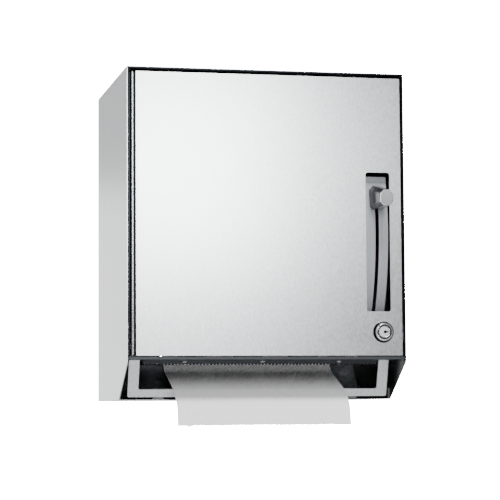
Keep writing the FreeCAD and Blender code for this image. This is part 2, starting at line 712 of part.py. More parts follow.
def make_lock():
    centre = ("lock_x", "lock_z")
    bore = "lock_plug_diameter / 2 + running_gap"
    barrel = "lock_barrel_diameter / 2"
    end = FRONT + " + lock_barrel_depth"
    housing = [(FRONT + " - bezel_height", bore), (FRONT + " - bezel_height", "bezel_face_diameter / 2")]
    housing += [(FRONT, "bezel_diameter / 2"), (FRONT, barrel), (end, barrel), (end, bore)]
    turned("lock_body", "Y", centre, housing)

    nut = new_body("lock_nut")
    sketch = new_sketch(nut, "XZ", DOOR_BACK + " + lock_nut_height", "lock_x", "lock_z")
    corners = []
    for turn in range(0, 360, 60):
        across = "lock_barrel_diameter * 0.72 * cos(%d)" % turn
        corners.append((across, "lock_barrel_diameter * 0.72 * sin(%d)" % turn))
    add_outline(sketch, corners)
    add_circle(sketch, "0", "0", "lock_barrel_diameter + 2 * running_gap")
    pad(nut, sketch, "lock_nut_height")

    face = FRONT + " - bezel_height + 0.4"
    tail = end + " + cam_sheet"
    plug_radius = "lock_plug_diameter / 2"
    spigot = "cam_spigot_diameter / 2"
    plug_profile = [(face, "0"), (face, plug_radius), (end, plug_radius), (end, spigot), (tail, spigot)]
    plug_profile += [(tail, "0")]
    plug = turned("lock_plug", "Y", centre, plug_profile)
    cut_circles(plug, "XZ", [("lock_x + 1", "lock_z", "3.6")], (face + " - 1", face + " + 5"))
    key = rectangle(("lock_x + 1", "lock_z - 0.8"), ("lock_x + 5", "lock_z + 0.8"))
    cut_outline(plug, "XZ", key, (face + " - 1", face + " + 5"))
    cut_circles(plug, "XZ", [("lock_x", "lock_z", "small_screw_shank")], (tail + " - 6", tail + " + 1"))

    cam = new_body("lock_cam")
    low = ("lock_x - cam_width / 2", "lock_z - cam_length")
    pad_outline(cam, "XZ", rectangle(low, ("lock_x + cam_width / 2", "lock_z + cam_heel")), (end, tail))
    spigot_hole = ("lock_x", "lock_z", "cam_spigot_diameter + 2 * running_gap")
    cut_circles(cam, "XZ", [spigot_hole], (end + " - 1", tail + " + 1"))
    middle = value("lock_z - cam_length / 2")

    def is_tip_corner(edge):
        return is_along(edge, Vector(0, 1, 0)) and edge.CenterOfMass.z < middle

    soften(cam, "cam_width / 4", is_tip_corner)
    head = value("cam_spigot_diameter") + 2
    screw = pan_screw(Vector(0, -1, 0), head, 2.6, value("small_screw_shank"), 5.4)
    solid_node("cam_screw", screw.translated(Vector(value("lock_x"), value(tail), value("lock_z"))))


def make_lock_strike():
    """Angle bracket on the right side, in front of the cam's tip when the lock is turned."""
    cam_front = FRONT + " + lock_barrel_depth"
    catch = ("%s - strike_gap - strike_sheet" % cam_front, "%s - strike_gap" % cam_front)
    height = ("lock_z - 10", "lock_z + 10")
    strike = block("lock_strike", ("lock_x + cam_length - 6", INNER_X), catch, height)
    foot = (INNER_X + " - strike_sheet", INNER_X)
    add_block(strike, foot, (catch[1], catch[1] + " + 16"), height)
    rivets = [(STRIKE_RIVET_DEPTH, level, RIVET_HOLE) for level in STRIKE_RIVET_LEVELS]
    cut_circles(strike, "YZ", rivets, (foot[0] + " - 1", foot[1] + " + 1"))


# Places about the lever's pivot

def polar(radius, degrees):
    """A point about the lever's pivot: the angle runs down from straight forward."""
    angle = math.radians(degrees)
    pivot = Vector(0, value("pivot_y"), value("pivot_z"))
    return pivot - Vector(0, math.cos(angle), math.sin(angle)) * radius


def guard_screw_places():
    radius = value("guard_radius") - 27.5
    return [polar(radius, angle) for angle in (-12, 6, 24)]


# Mechanism frame

def make_side_plate(label, side):
    """Upright plate beside the roll, with a flange against the back. side is -1 left, 1 right."""
    sign = "-" if side < 0 else ""
    reach = sorted_reach(side, "side_plate_x", PLATE_OUT)
    body = new_body(label)
    corners = [(BACK_IN, "side_plate_top"), ("roll_y - 30", "side_plate_top")]
    corners += [("roll_y - 30", "pivot_z + 55")]
    corners += [("side_plate_front", "pivot_z + 40"), ("side_plate_front", "pivot_z - 65")]
    corners += [("roll_y - 30", DRIVE_Z + " - 12"), (PINCH_Y + " - 12", DRIVE_Z + " - 16")]
    corners += [(PINCH_Y + " - 8", PINCH_Z + " - 12"), (ARM_Y + " + 35", PINCH_Z + " - 20")]
    corners += [(ARM_Y + " + 50", DRIVE_Z + " - 12"), (BACK_IN, DRIVE_Z + " - 12")]
    pad_outline(body, "YZ", corners, reach)
    low, high = sorted_reach(side, PLATE_OUT, PLATE_OUT + " + flange")
    back = (BACK_IN + " - side_plate_sheet", BACK_IN)
    add_block(body, (low, high), back, (DRIVE_Z + " - 8", "side_plate_top - 4"))
    mine = [place for place in FLANGE_SCREWS if value(place[0]) * side > 0]
    screws = [(across, level, SCREW_HOLE) for across, level in mine]
    cut_circles(body, "XZ", screws, (back[0] + " - 1", back[1] + " + 1"))
    holes = [(DRIVE[0], DRIVE[1], "drive_shaft_diameter + 4")]
    holes += [(place[0], place[1], SCREW_HOLE) for place in TIE_RODS]
    holes += [(ARM_Y, ARM_Z, "pinch_pin_diameter + 2 * running_gap")]
    if side > 0:
        holes += [(ROLL[0], ROLL[1], "plunger_diameter + 2 * running_gap")]
        holes += [(PIVOT[0], PIVOT[1], "pivot_diameter")]
        holes += [(str(place.y), str(place.z), SCREW_HOLE) for place in guard_screw_places()]
    else:
        holes += [(ROLL[0], ROLL[1], "hub_screw_shank + 2 * running_gap")]
    cut_circles(body, "YZ", holes, (reach[0] + " - 1", reach[1] + " + 1"))


def sorted_reach(side, near, far):
    """A stretch of X between two distances from the middle, on the left or the right."""
    if side < 0:
        return ("(-(%s))" % far, "(-(%s))" % near)
    return (near, far)


def make_frame():
    make_side_plate("side_plate_left", -1)
    make_side_plate("side_plate_right", 1)
    for label, place in zip(("tie_rod_upper", "tie_rod_lower"), TIE_RODS):
        profile = [("-side_plate_x", "0"), ("side_plate_x", "0"), ("side_plate_x", "tie_rod_diameter / 2")]
        profile += [("-side_plate_x", "tie_rod_diameter / 2")]
        rod = turned(label, "X", place, profile)
        hole = (place[0], place[1], "screw_shank")
        cut_circles(rod, "YZ", [hole], ("side_plate_x - 12", "side_plate_x + 1"))
        cut_circles(rod, "YZ", [hole], ("-side_plate_x - 1", "12 - side_plate_x"))
    plate_out = value(PLATE_OUT)
    solids = []
    screw = frame_screw(Vector(0, 1, 0), value("side_plate_sheet + sheet") - 0.2)
    face = value(BACK_IN + " - side_plate_sheet")
    for across, level in FLANGE_SCREWS:
        solids.append(screw.translated(Vector(value(across), face, value(level))))
    for side in (-1, 1):
        rod_screw = frame_screw(Vector(-side, 0, 0), 10.0)
        for depth, level in TIE_RODS:
            solids.append(rod_screw.translated(Vector(side * plate_out, value(depth), value(level))))
    solid_node("frame_screws", Part.makeCompound(solids))


# Folded strips, which run across the cabinet

def strip_wire_points(points, radii, offset):
    """Corners and corner radii of a path moved sideways by offset, to its left."""
    corners = []
    for index, point in enumerate(points):
        before = (point - points[index - 1]).normalize() if index > 0 else None
        after = (points[index + 1] - point).normalize() if index < len(points) - 1 else None
        before = before or after
        after = after or before
        left_before = Vector(-before.y, before.x, 0)
        left_after = Vector(-after.y, after.x, 0)
        corner = point + (left_before + left_after) * (offset / (1 + left_before.dot(left_after)))
        bend = before.cross(after).z
        radius = radii[index] - offset if bend > 0 else radii[index] + offset
        corners.append((corner, before, after, radius))
    return corners


def strip_edges(corners):
    """Lines and tangent arcs through the corners."""
    edges = []
    here = corners[0][0]
    for corner, before, after, radius in corners[1:-1]:
        turn = before.getAngle(after)
        reach = radius * math.tan(turn / 2)
        start = corner - before * reach
        end = corner + after * reach
        inward = (after - before).normalize()
        middle = corner + inward * (radius / math.cos(turn / 2) - radius)
        edges.append(Part.LineSegment(here, start).toShape())
        edges.append(Part.Arc(start, middle, end).toShape())
        here = end
    edges.append(Part.LineSegment(here, corners[-1][0]).toShape())
    return edges


def folded_strip(points, radii, thickness, wide):
    """A strip of even thickness that follows a path in Y and Z, with rounded corners."""
    path = [Vector(y, z, 0) for y, z in points]
    radii = [0] + list(radii) + [0]
    left = strip_edges(strip_wire_points(path, radii, thickness / 2))
    right = strip_edges(strip_wire_points(path, radii, -thickness / 2))
    first = Part.LineSegment(right[0].Vertexes[0].Point, left[0].Vertexes[0].Point).toShape()
    last = Part.LineSegment(left[-1].Vertexes[-1].Point, right[-1].Vertexes[-1].Point).toShape()
    wire = Part.Wire(Part.__sortEdges__([first] + left + [last] + right))
    solid = Part.Face(wire).extrude(Vector(0, 0, wide[1] - wide[0]))
    matrix = FreeCAD.Matrix(0, 0, 1, wide[0], 1, 0, 0, 0, 0, 1, 0, 0, 0, 0, 0, 1)
    solid.Placement = FreeCAD.Placement(matrix)
    return solid


def solid_node(label, shape):
    """A piece whose shape is set directly."""
    feature = DOC.addObject("Part::Feature", label)
    feature.Shape = shape
    feature.Placement = shape.Placement
    return node(feature, label)


# Paper path

def web_start():
    """Direction and tangent point of the paper between the roll and the drive roller."""
    drive = Vector(value(DRIVE[0]), value(DRIVE[1]), 0)
    roll = Vector(value(ROLL[0]), value(ROLL[1]), 0)
    near = value("drive_roller_diameter / 2 + loose_gap + paper / 2")
    far = value("roll_diameter / 2 + loose_gap + paper / 2")
    apart = roll - drive
    lean = math.acos((near - far) / apart.Length) - math.atan2(apart.y, apart.x)
    normal = Vector(math.cos(lean), -math.sin(lean), 0)
    return drive, near, roll + normal * far, normal


def make_paper():
    drive, radius, tangent, normal = web_start()
    slant = Vector(math.cos(math.radians(45)), -math.sin(math.radians(45)), 0)
    wrap = drive + (normal + slant) * (radius / (1 + normal.dot(slant)))
    down = Vector(-slant.x, slant.y, 0)
    knee = wrap + down * value("paper_run")
    bar = Vector(value("outlet_front") + 8.0, value("case_bottom") + 12.3, 0)
    drop = Vector(value("paper_end") + 5, value("case_bottom") - 4, 0)
    end = Vector(value("paper_end") - 0.3, value("case_bottom") - 31, 0)
    points = [(place.x, place.y) for place in (tangent, wrap, knee, bar, drop, end)]
    half = value("roll_width") / 2
    sheet = folded_strip(points, [radius, 22, 24, 22], value("paper"), (-half, half))
    solid_node("paper_web", sheet)

    edge = "roll_width / 2"
    ring = [("-" + edge, "core_diameter / 2 + 0.1"), (edge, "core_diameter / 2 + 0.1")]
    ring += [(edge, "roll_diameter / 2"), ("-" + edge, "roll_diameter / 2")]
    turned("paper_roll", "X", ROLL, ring)
    tube = [("-" + edge, "core_diameter / 2 - core_wall"), (edge, "core_diameter / 2 - core_wall")]
    tube += [(edge, "core_diameter / 2"), ("-" + edge, "core_diameter / 2")]
    turned("roll_core", "X", ROLL, tube)


def make_chute():
    """Curved plate that guides the paper from the rollers to the bar."""
    centre = Vector(value("drive_y - chute_reach"), value(RAIL_BOTTOM) + 6, 0)
    radius = value("chute_radius + chute_sheet / 2")
    start = math.radians(14)
    lip = centre + Vector(math.cos(start), -math.sin(start), 0) * radius
    along = Vector(-math.sin(start), -math.cos(start), 0)
    turn = math.radians(90) - start
    corner = lip + along * (radius * math.tan(turn / 2) + 0.5)
    front = Vector(value("outlet_front") + 22, corner.y, 0)
    begin = lip - along * 0.5
    points = [(place.x, place.y) for place in (begin, corner, front)]
    half = value("chute_width") / 2
    plate = folded_strip(points, [radius], value("chute_sheet"), (-half, half))
    floor = value("case_bottom + sheet")
    height = corner.y - floor
    for across in (-half + 10, half - 22):
        plate = plate.fuse(Part.makeBox(12, 20, height, Vector(across, centre.x - 8, floor)))
    solid_node("paper_chute", plate.removeSplitter())


# Lever

def mesh_angle():
    """Where the pinion stands, seen from the pivot, in degrees below straight forward."""
    return math.degrees(math.asin(value("pivot_z - (%s)" % DRIVE_Z) / value(MESH_DISTANCE)))


def tooth_gap(root, pitch, tip, flank, width):
    """Outline of one tooth gap along +X, with flanks that open outwards."""
    half = width / 2
    low = half - (pitch - root) * math.tan(math.radians(flank))
    high = half + (tip - pitch) * math.tan(math.radians(flank))
    return [(root, -low), (tip, -high), (tip, high), (root, low)]


def make_lever():
    """Flat lever with a hub, a toothed sector and the tongue that carries the knob."""
    start = value(LEVER_IN)
    thick = value("lever_sheet")
    module = value("gear_module")
    pitch = value(SECTOR_RADIUS)
    tip = pitch + value("gear_addendum") * module
    root = pitch - 1.25 * module
    step = 360 / value("sector_teeth")
    hub = value("lever_hub_diameter / 2")
    pivot = Vector(start, value("pivot_y"), value("pivot_z"))
    swing_teeth = math.ceil(value("lever_swing") / step)
    first = mesh_angle() - (swing_teeth + 1.5) * step
    last = mesh_angle() + 2.5 * step
    bottom = value("tongue_bottom")
    top = value("tongue_top")
    neck = value("roll_y") - 85
    outline = [(pivot.y, pivot.z + hub + 3), (neck + 14, top + 3), (neck, top), (value("tongue_end"), top)]
    outline += [(value("tongue_end"), bottom), (neck, bottom), (neck + 14, bottom - 3)]
    outline += [(pivot.y, pivot.z - hub - 3)]
    corners = [Vector(start, y, z) for y, z in outline]
    plate = Part.Face(Part.makePolygon(corners + corners[:1])).extrude(Vector(thick, 0, 0))
    wedge = sector_plate(pivot, tip, thick, first, last)
    boss_start = Vector(value(PLATE_OUT) + 1.3, pivot.y, pivot.z)
    boss = Part.makeCylinder(hub, value(HUB_END) - boss_start.x, boss_start, Vector(1, 0, 0))
    heel = Part.makeCylinder(hub + 5, thick, pivot, Vector(1, 0, 0))
    lever = plate.fuse([wedge, boss, heel])
    middle = (first + last) / 2
    window = sector_plate(pivot - Vector(1, 0, 0), root - 12, thick + 2, first + 5, last - 5)
    window = window.cut(sector_plate(pivot - Vector(2, 0, 0), 52, thick + 4, middle - 90, middle + 90))
    wide = math.pi * module / 2 + value("gear_backlash") / 2
    gap_outline = tooth_gap(root, pitch, tip + 1, value("sector_flank"), wide)
    tools = [window]
    count = round((last - first) / step)
    for index in range(count + 1):
        angle = mesh_angle() + (index - count + 2.5) * step
        tools.append(gap_prism(gap_outline, pivot - Vector(1, 0, 0), thick + 2, angle))
    bore = value("pivot_diameter / 2 + running_gap")
    tools.append(Part.makeCylinder(bore, 40, Vector(value(PLATE_OUT), pivot.y, pivot.z), Vector(1, 0, 0)))
    lever = lever.cut(tools)
    solid_node("lever_plate", lever.removeSplitter())


def sector_plate(centre, radius, thick, first, last):
    """A slice of a disc about a point, between two angles below straight forward."""
    def at(angle):
        turn = math.radians(angle)
        return centre + Vector(0, -math.cos(turn), -math.sin(turn)) * radius
    arc = Part.Arc(at(first), at((first + last) / 2), at(last)).toShape()
    out = Part.LineSegment(centre, at(first)).toShape()
    home = Part.LineSegment(at(last), centre).toShape()
    return Part.Face(Part.Wire([out, arc, home])).extrude(Vector(thick, 0, 0))


def gap_prism(outline, centre, thick, angle):
    """A prism of the outline, laid out from a centre at an angle below straight forward."""
    turn = math.radians(angle)
    out = Vector(0, -math.cos(turn), -math.sin(turn))
    aside = Vector(0, math.sin(turn), -math.cos(turn))
    corners = [centre + out * along + aside * across for along, across in outline]
    return Part.Face(Part.makePolygon(corners + corners[:1])).extrude(Vector(thick, 0, 0))


def section(body, at, half, low, high, bevel, top_bevel):
    """An eight-cornered section square to Y."""
    left = "(lever_x - %s)" % half
    right = "(lever_x + %s)" % half
    corners = [("%s + %s" % (left, bevel), low), ("%s - %s" % (right, bevel), low)]
    corners += [(right, "%s + %s" % (low, bevel)), (right, "%s - %s" % (high, top_bevel))]
    corners += [("%s - %s" % (right, top_bevel), high), ("%s + %s" % (left, top_bevel), high)]
    corners += [(left, "%s - %s" % (high, top_bevel)), (left, "%s + %s" % (low, bevel))]
    sketch = new_sketch(body, "XZ", at)
    add_outline(sketch, corners)
    return sketch


def make_knob():
    """Tapered knob pushed onto the lever's tongue, hollowed at the back to clear the guard."""
    knob = new_body("lever_knob")
    back = "(pivot_y - guard_radius + 10)"
    base = section(knob, back, "knob_width / 2", "knob_bottom", "knob_base_top", "3", "5")
    slim = "(knob_width / 2 - 0.65)"
    front = section(knob, "knob_front", slim, "(knob_bottom + 0.8)", "knob_front_top", "4.6", "4.6")
    loft = knob.newObject("PartDesign::AdditiveLoft", "knob_loft")
    loft.Profile = base
    loft.Sections = [front]
    loft.Ruled = True
    DOC.recompute()
    face = value("knob_front")
    soften(knob, "0.8", lambda edge: abs(edge.CenterOfMass.y - face) < 0.01)
    clear = "2 * (guard_radius + guard_rib + 1.2)"
    cut_circles(knob, "YZ", [(PIVOT[0], PIVOT[1], clear)], ("lever_x - knob_width", "lever_x + knob_width"))
    low = (LEVER_IN + " - running_gap", "tongue_bottom - running_gap")
    high = (LEVER_OUT + " + running_gap", "tongue_top + running_gap")
    cut_outline(knob, "XZ", rectangle(low, high), ("tongue_end - loose_gap", back + " + 1"))


def revolve_section(body, corners, first, last, cut=False):
    """Turns an outline of (X, radius) about the lever's pivot, between two angles below forward."""
    sketch = new_sketch(body, "XZ", PIVOT[0], "0", PIVOT[1], 90 + value(first))
    add_outline(sketch, corners)
    kind = "PartDesign::Groove" if cut else "PartDesign::Revolution"
    feature = body.newObject(kind, body.Label + "_turn")
    feature.Profile = sketch
    feature.ReferenceAxis = (sketch, ["H_Axis"])
    bind(feature, "Angle", span((first, last)))
    DOC.recompute()
    return feature


def make_guard():
    """Curved, ribbed plate behind the door's slot, with the slot that the lever's tongue runs in."""
    body = new_body("lever_guard")
    low = "(guard_radius - guard_sheet)"
    left = "(%s + guard_sheet)" % PLATE_OUT
    half = "guard_slot / 2"
    span_angles = ("-guard_rise", "guard_drop")
    revolve_section(body, rectangle((PLATE_OUT, low), ("guard_right", "guard_radius")), *span_angles)
    web = rectangle((PLATE_OUT, "side_plate_front * -1 - 30"), (left, low + " + 0.5"))
    revolve_section(body, web, *span_angles)
    rib_places = [left + " + 1", left + " + 4.2", left + " + 6.4", "lever_x - %s - 2.2" % half]
    rib_places += ["lever_x + %s + %s" % (half, step) for step in (1.2, 4.2, 6.4)]
    rib_places += ["guard_right - 1.6"]
    for place in rib_places:
        rib = rectangle((place, "guard_radius - 0.5"), (place + " + 1", "guard_radius + guard_rib"))
        revolve_section(body, rib, *span_angles)
    band = rectangle((left, "guard_radius - 0.5"), ("guard_right", "guard_radius + 2 * guard_rib"))
    revolve_section(body, band, "-guard_rise", "1.7 - guard_rise")
    slot_high = ("lever_x + " + half, "guard_radius + 3 * guard_rib")
    slot = rectangle(("lever_x - " + half, low + " - 1"), slot_high)
    revolve_section(body, slot, "4.5 - guard_rise", "guard_drop - 2.2", cut=True)
    holes = [(str(place.y), str(place.z), SCREW_HOLE) for place in guard_screw_places()]
    cut_circles(body, "YZ", holes, (PLATE_OUT + " - 1", left + " + 1"))


def make_pivot():
    """Stub pin riveted into the right side plate, with the ring that keeps the lever on it."""
    radius = "pivot_diameter / 2"
    inner = "side_plate_x"
    profile = [(inner + " - 1.5", "0"), (inner + " - 1.5", radius + " + 2"), (inner, radius + " + 2")]
    profile += [(inner, radius), (PLATE_OUT, radius), (PLATE_OUT, radius + " + 3")]
    profile += [(PLATE_OUT + " + 1", radius + " + 3"), (PLATE_OUT + " + 1", radius)]
    groove = (HUB_END + " + 0.3", HUB_END + " + 1.5")
    profile += [(groove[0], radius), (groove[0], radius + " - 1"), (groove[1], radius + " - 1")]
    profile += [(groove[1], radius), (HUB_END + " + 3", radius), (HUB_END + " + 3", "0")]
    turned("lever_pivot_pin", "X", PIVOT, profile)
    bore = radius + " - 1 + running_gap"
    ring = [(groove[0] + " + 0.05", bore), (groove[1] + " - 0.05", bore)]
    ring += [(groove[1] + " - 0.05", radius + " + 2.5"), (groove[0] + " + 0.05", radius + " + 2.5")]
    turned("pivot_ring", "X", PIVOT, ring)


def make_bumpers():
    """Rubber stops on the right side plate, one for each end of the lever's swing."""
    radius = value("bumper_diameter / 2")
    start = value(PLATE_OUT)
    length = value(LEVER_OUT) - start + 1
    gap = value("loose_gap")
    hub = value("lever_hub_diameter / 2")
    pivot = Vector(0, value("pivot_y"), value("pivot_z"))
    top_from = Vector(0, pivot.y, pivot.z + hub + 3)
    top_to = Vector(0, value("roll_y") - 71, value("tongue_top") + 3)
    along = (top_to - top_from).normalize()
    above = Vector(0, along.z, -along.y)
    up_stop = top_from + along * 92 + above * (radius + gap)
    step = 360 / value("sector_teeth")
    edge = mesh_angle() + 2.5 * step + value("lever_swing")
    reach = value("bumper_reach")
    down_stop = polar(reach, edge + math.degrees(math.asin((radius + gap) / reach)))
    for label, place in (("lever_bumper_upper", up_stop), ("lever_bumper_lower", down_stop)):
        foot = Vector(start, place.y, place.z)
        solid_node(label, Part.makeCylinder(radius, length, foot, Vector(1, 0, 0)))


# Rollers and gears

def make_pinion():
    """Pinion of the drive shaft, with a hub. It holds the one-way clutch."""
    module = "gear_module"
    body = new_body("pinion")
    start = LEVER_IN + " - 0.5"
    tip = "(%s + gear_addendum * %s)" % (PINION_RADIUS, module)
    pad_circles(body, "YZ", [(DRIVE[0], DRIVE[1], "2 * " + tip)], (start, start + " + gear_width"))
    pad_circles(body, "YZ", [(DRIVE[0], DRIVE[1], "2 * %s - 9" % PINION_RADIUS)], (start + " - 8", start))
    sketch = new_sketch(body, "YZ", start + " + gear_width + 1", DRIVE[0], DRIVE[1])
    gap = tooth_gap(value(PINION_RADIUS) - 1.25 * value(module), value(PINION_RADIUS), value(tip) + 1,
                    value("pinion_flank"), math.pi * value(module) / 2 + value("gear_backlash") / 2)
    turn = math.radians(mesh_angle())
    corners = []
    for along, across in gap:
        corners.append((along * math.cos(turn) - across * math.sin(turn),
                        along * math.sin(turn) + across * math.cos(turn)))
    add_outline(sketch, corners)
    cut = pocket(body, sketch, "gear_width + 2")
    pattern = body.newObject("PartDesign::PolarPattern", "pinion_teeth_row")
    pattern.Originals = [cut]
    pattern.Axis = (sketch, ["N_Axis"])
    pattern.Angle = 360
    bind(pattern, "Occurrences", "pinion_teeth")
    body.Tip = pattern
    DOC.recompute()
    bore = (DRIVE[0], DRIVE[1], "drive_shaft_diameter + 2 * running_gap")
    cut_circles(body, "YZ", [bore], (start + " - 9", start + " + gear_width + 1"))


def make_drive():
    """Drive shaft in its two bushings, with three rubber rollers."""
    end = "(side_plate_x + 4)"
    tip = "(%s + 5)" % LEVER_OUT
    thin = "drive_shaft_diameter / 2"
    core = "drive_core_diameter / 2"
    stop = "(side_plate_x - 3)"
    profile = [("-" + end, "0"), ("-" + end, thin), ("-" + stop, thin), ("-" + stop, core), (stop, core)]
    profile += [(stop, thin), (tip, thin), (tip, "0")]
    turned("drive_shaft", "X", DRIVE, profile)
    for place, reach in roller_reaches():
        sleeve("drive_roller_" + place, DRIVE, reach, core, "drive_roller_diameter / 2")
    for side, label in ((-1, "shaft_bushing_left"), (1, "shaft_bushing_right")):
        sign = "-" if side < 0 else ""
        inner = "%s(side_plate_x - 1.5)" % sign
        face = "%sside_plate_x" % sign
        outer = "%s(%s + 1.5)" % (sign, PLATE_OUT)
        bore = "%s + running_gap" % thin
        ring = [(inner, bore), (outer, bore), (outer, thin + " + 2"), (face, thin + " + 2")]
        ring += [(face, thin + " + 4"), (inner, thin + " + 4")]
        turned(label, "X", DRIVE, ring)


def roller_reaches():
    """Where each of the three rollers of a shaft starts and ends along X."""
    reaches = []
    for index, place in enumerate(("left", "middle", "right")):
        middle = "roll_width / 3 * %d" % (index - 1)
        reach = ("%s - drive_roller_width / 2" % middle, "%s + drive_roller_width / 2" % middle)
        reaches.append((place, reach))
    return reaches


def sleeve(label, centre, reach, bore, radius):
    """A plain tube along X with slightly rounded rims."""
    low, high = reach
    profile = [(low, bore), (high, bore), (high, radius + " - 0.6"), ("%s - 0.6" % high, radius)]
    profile += [("%s + 0.6" % low, radius), (low, radius + " - 0.6")]
    return turned(label, "X", centre, profile)


def make_pinch():
    """Pinch rollers on a shaft between two arms that tilt about pins in the side plates."""
    radius = "pinch_shaft_diameter / 2"
    arm_in = "(side_plate_x - pinch_arm_gap - pinch_arm_sheet)"
    end = "(%s + pinch_arm_sheet + 1)" % arm_in
    profile = [("-" + end, "0"), (end, "0"), (end, radius), ("-" + end, radius)]
    turned("pinch_shaft", "X", PINCH, profile)
    for place, reach in roller_reaches():
        sleeve("pinch_roller_" + place, PINCH, reach, radius, "pinch_roller_diameter / 2")
    pin_hole = "pinch_pin_diameter + 2 * running_gap"
    for side, label in ((-1, "pinch_arm_left"), (1, "pinch_arm_right")):
        reach = sorted_reach(side, arm_in, arm_in + " + pinch_arm_sheet")
        arm = new_body(label)
        pad_circles(arm, "YZ", [(PINCH[0], PINCH[1], "pinch_shaft_diameter + 7")], reach)
        pad_circles(arm, "YZ", [(ARM_Y, ARM_Z, "pinch_pin_diameter + 7")], reach)
        bar = [("%s - 3.5" % PINCH_Y, "%s + 3.5" % PINCH_Z), ("%s + 3.5" % PINCH_Y, "%s - 3.5" % PINCH_Z)]
        bar += [("%s + 3.5" % ARM_Y, "%s - 3.5" % ARM_Z), ("%s - 3.5" % ARM_Y, "%s + 3.5" % ARM_Z)]
        pad_outline(arm, "YZ", bar, reach)
        holes = [(PINCH[0], PINCH[1], "pinch_shaft_diameter + 2 * running_gap"), (ARM_Y, ARM_Z, pin_hole)]
        cut_circles(arm, "YZ", holes, (reach[0] + " - 1", reach[1] + " + 1"))
    make_pinch_pins(value(arm_in) - 1)


def make_pinch_pins(inner):
    """Stepped pins of the pinch arms, riveted into the side plates."""
    radius = value("pinch_pin_diameter / 2")
    collar = radius + 1.7
    head = 1.2
    step = value("pinch_arm_gap") - 0.2
    plate = value("side_plate_x")
    end = value(PLATE_OUT) + 0.6
    profile = [(inner - head, 0), (inner - head, collar), (inner, collar), (inner, radius)]
    profile += [(plate - step, radius), (plate - step, collar), (plate, collar), (plate, radius)]
    profile += [(end, radius), (end, 0)]
    centre = Vector(0, value(ARM_Y), value(ARM_Z))
    pins = [aimed(turned_shape(profile), Vector(side, 0, 0)).translated(centre) for side in (-1, 1)]
    solid_node("pinch_pivot_pins", Part.makeCompound(pins))


def make_pinch_springs():
    """Leaf springs clamped round the lower tie rod, which press the arms towards the drive roller."""
    rod = Vector(0, value(TIE_RODS[1][0]), value(TIE_RODS[1][1]))
    inner = value("tie_rod_diameter / 2 + running_gap")
    wide = value("leaf_spring_width")
    thick = value("leaf_spring_sheet")
    arm_end = Vector(0, value(PINCH_Y), value(PINCH_Z))
    below = value("pinch_shaft_diameter / 2") + 3.5 + thick / 2 + value("loose_gap")
    for side, label in ((-1, "pinch_spring_left"), (1, "pinch_spring_right")):
        near = value("side_plate_x - pinch_arm_gap - pinch_arm_sheet / 2") + 1
        start = near - wide if side > 0 else -near
        eye = Part.makeCylinder(inner + thick, wide, Vector(start, rod.y, rod.z), Vector(1, 0, 0))
        bottom = rod - Vector(0, 0, inner + thick / 2)
        points = [(bottom.y, bottom.z), (arm_end.y + 14, bottom.z), (arm_end.y - 2, arm_end.z - below)]
        leaf = folded_strip(points, [12], thick, (start, start + wide))
        hole = Part.makeCylinder(inner, wide + 2, Vector(start - 1, rod.y, rod.z), Vector(1, 0, 0))
        solid_node(label, eye.fuse(leaf).cut(hole).removeSplitter())


# Roll carriers

def make_hubs():
    """Fixed left hub, and a right hub on a sprung plunger in its housing."""
    nose = "core_diameter / 2 - core_wall - loose_gap"
    edge = "roll_width / 2"
    flange = "hub_flange_diameter / 2"
    face = "(%s + loose_gap)" % edge
    back = "(%s + 2.5)" % face
    left = [("-(%s - hub_nose)" % face, "0"), ("-(%s - hub_nose)" % face, nose + " - 2")]
    left += [("-(%s - hub_nose + 2)" % face, nose), ("-" + face, nose), ("-" + face, flange)]
    left += [("-" + back, flange), ("-" + back, "9"), ("-side_plate_x", "9"), ("-side_plate_x", "0")]
    hub = turned("roll_hub_left", "X", ROLL, left)
    screw_hole = (ROLL[0], ROLL[1], "hub_screw_shank")
    cut_circles(hub, "YZ", [screw_hole], ("-side_plate_x - 1", "-side_plate_x + 12"))
    shank = value("hub_screw_shank")
    screw = pan_screw(Vector(1, 0, 0), shank + 4, 2.8, shank, 11.0)
    solid_node("hub_screw", screw.translated(Vector(-value(PLATE_OUT), value(ROLL[0]), value(ROLL[1]))))

    stem = "plunger_diameter / 2"
    collar = PLUNGER_COLLAR
    cap = HOUSING_CAP
    end = "(%s + 5)" % cap[1]
    right = [("(%s - hub_nose)" % face, "0"), ("(%s - hub_nose)" % face, nose + " - 2")]
    right += [("(%s - hub_nose + 2)" % face, nose), (face, nose), (face, flange), (back, flange)]
    right += [(back, stem), (collar[0], stem), (collar[0], stem + " + 4"), (collar[1], stem + " + 4")]
    right += [(collar[1], stem), (end, stem), (end, "0")]
    turned("roll_hub_right", "X", ROLL, right)
    outer = "(%s + 6.5)" % stem
    bore = "(%s + 5)" % stem
    tube = [(PLATE_OUT, bore), (PLATE_OUT, outer + " + 5"), (PLATE_OUT + " + 1.5", outer + " + 5")]
    tube += [(PLATE_OUT + " + 1.5", outer), (cap[1], outer), (cap[1], stem + " + running_gap")]
    tube += [(cap[0], stem + " + running_gap"), (cap[0], bore)]
    turned("plunger_housing", "X", ROLL, tube)
    clip_bore = stem + " + running_gap"
    clip = [(cap[1] + " + 0.4", clip_bore), (cap[1] + " + 1.6", clip_bore)]
    clip += [(cap[1] + " + 1.6", stem + " + 3"), (cap[1] + " + 0.4", stem + " + 3")]
    turned("plunger_clip", "X", ROLL, clip)


# Springs

def helix_points(centre, start, pitch, radius, turns):
    """Quarter-turn points of a coil along X, each with its tangent."""
    count = round(turns * 4)
    points = []
    rise = pitch / (2 * math.pi * radius)
    for index in range(count + 1):
        angle = index * math.pi / 2
        spoke = Vector(0, math.cos(angle), math.sin(angle))
        place = centre + spoke * radius + Vector(start + pitch * index / 4, 0, 0)
        tangent = Vector(rise, -spoke.z, spoke.y).normalize()
        points.append((place, tangent))
    return points


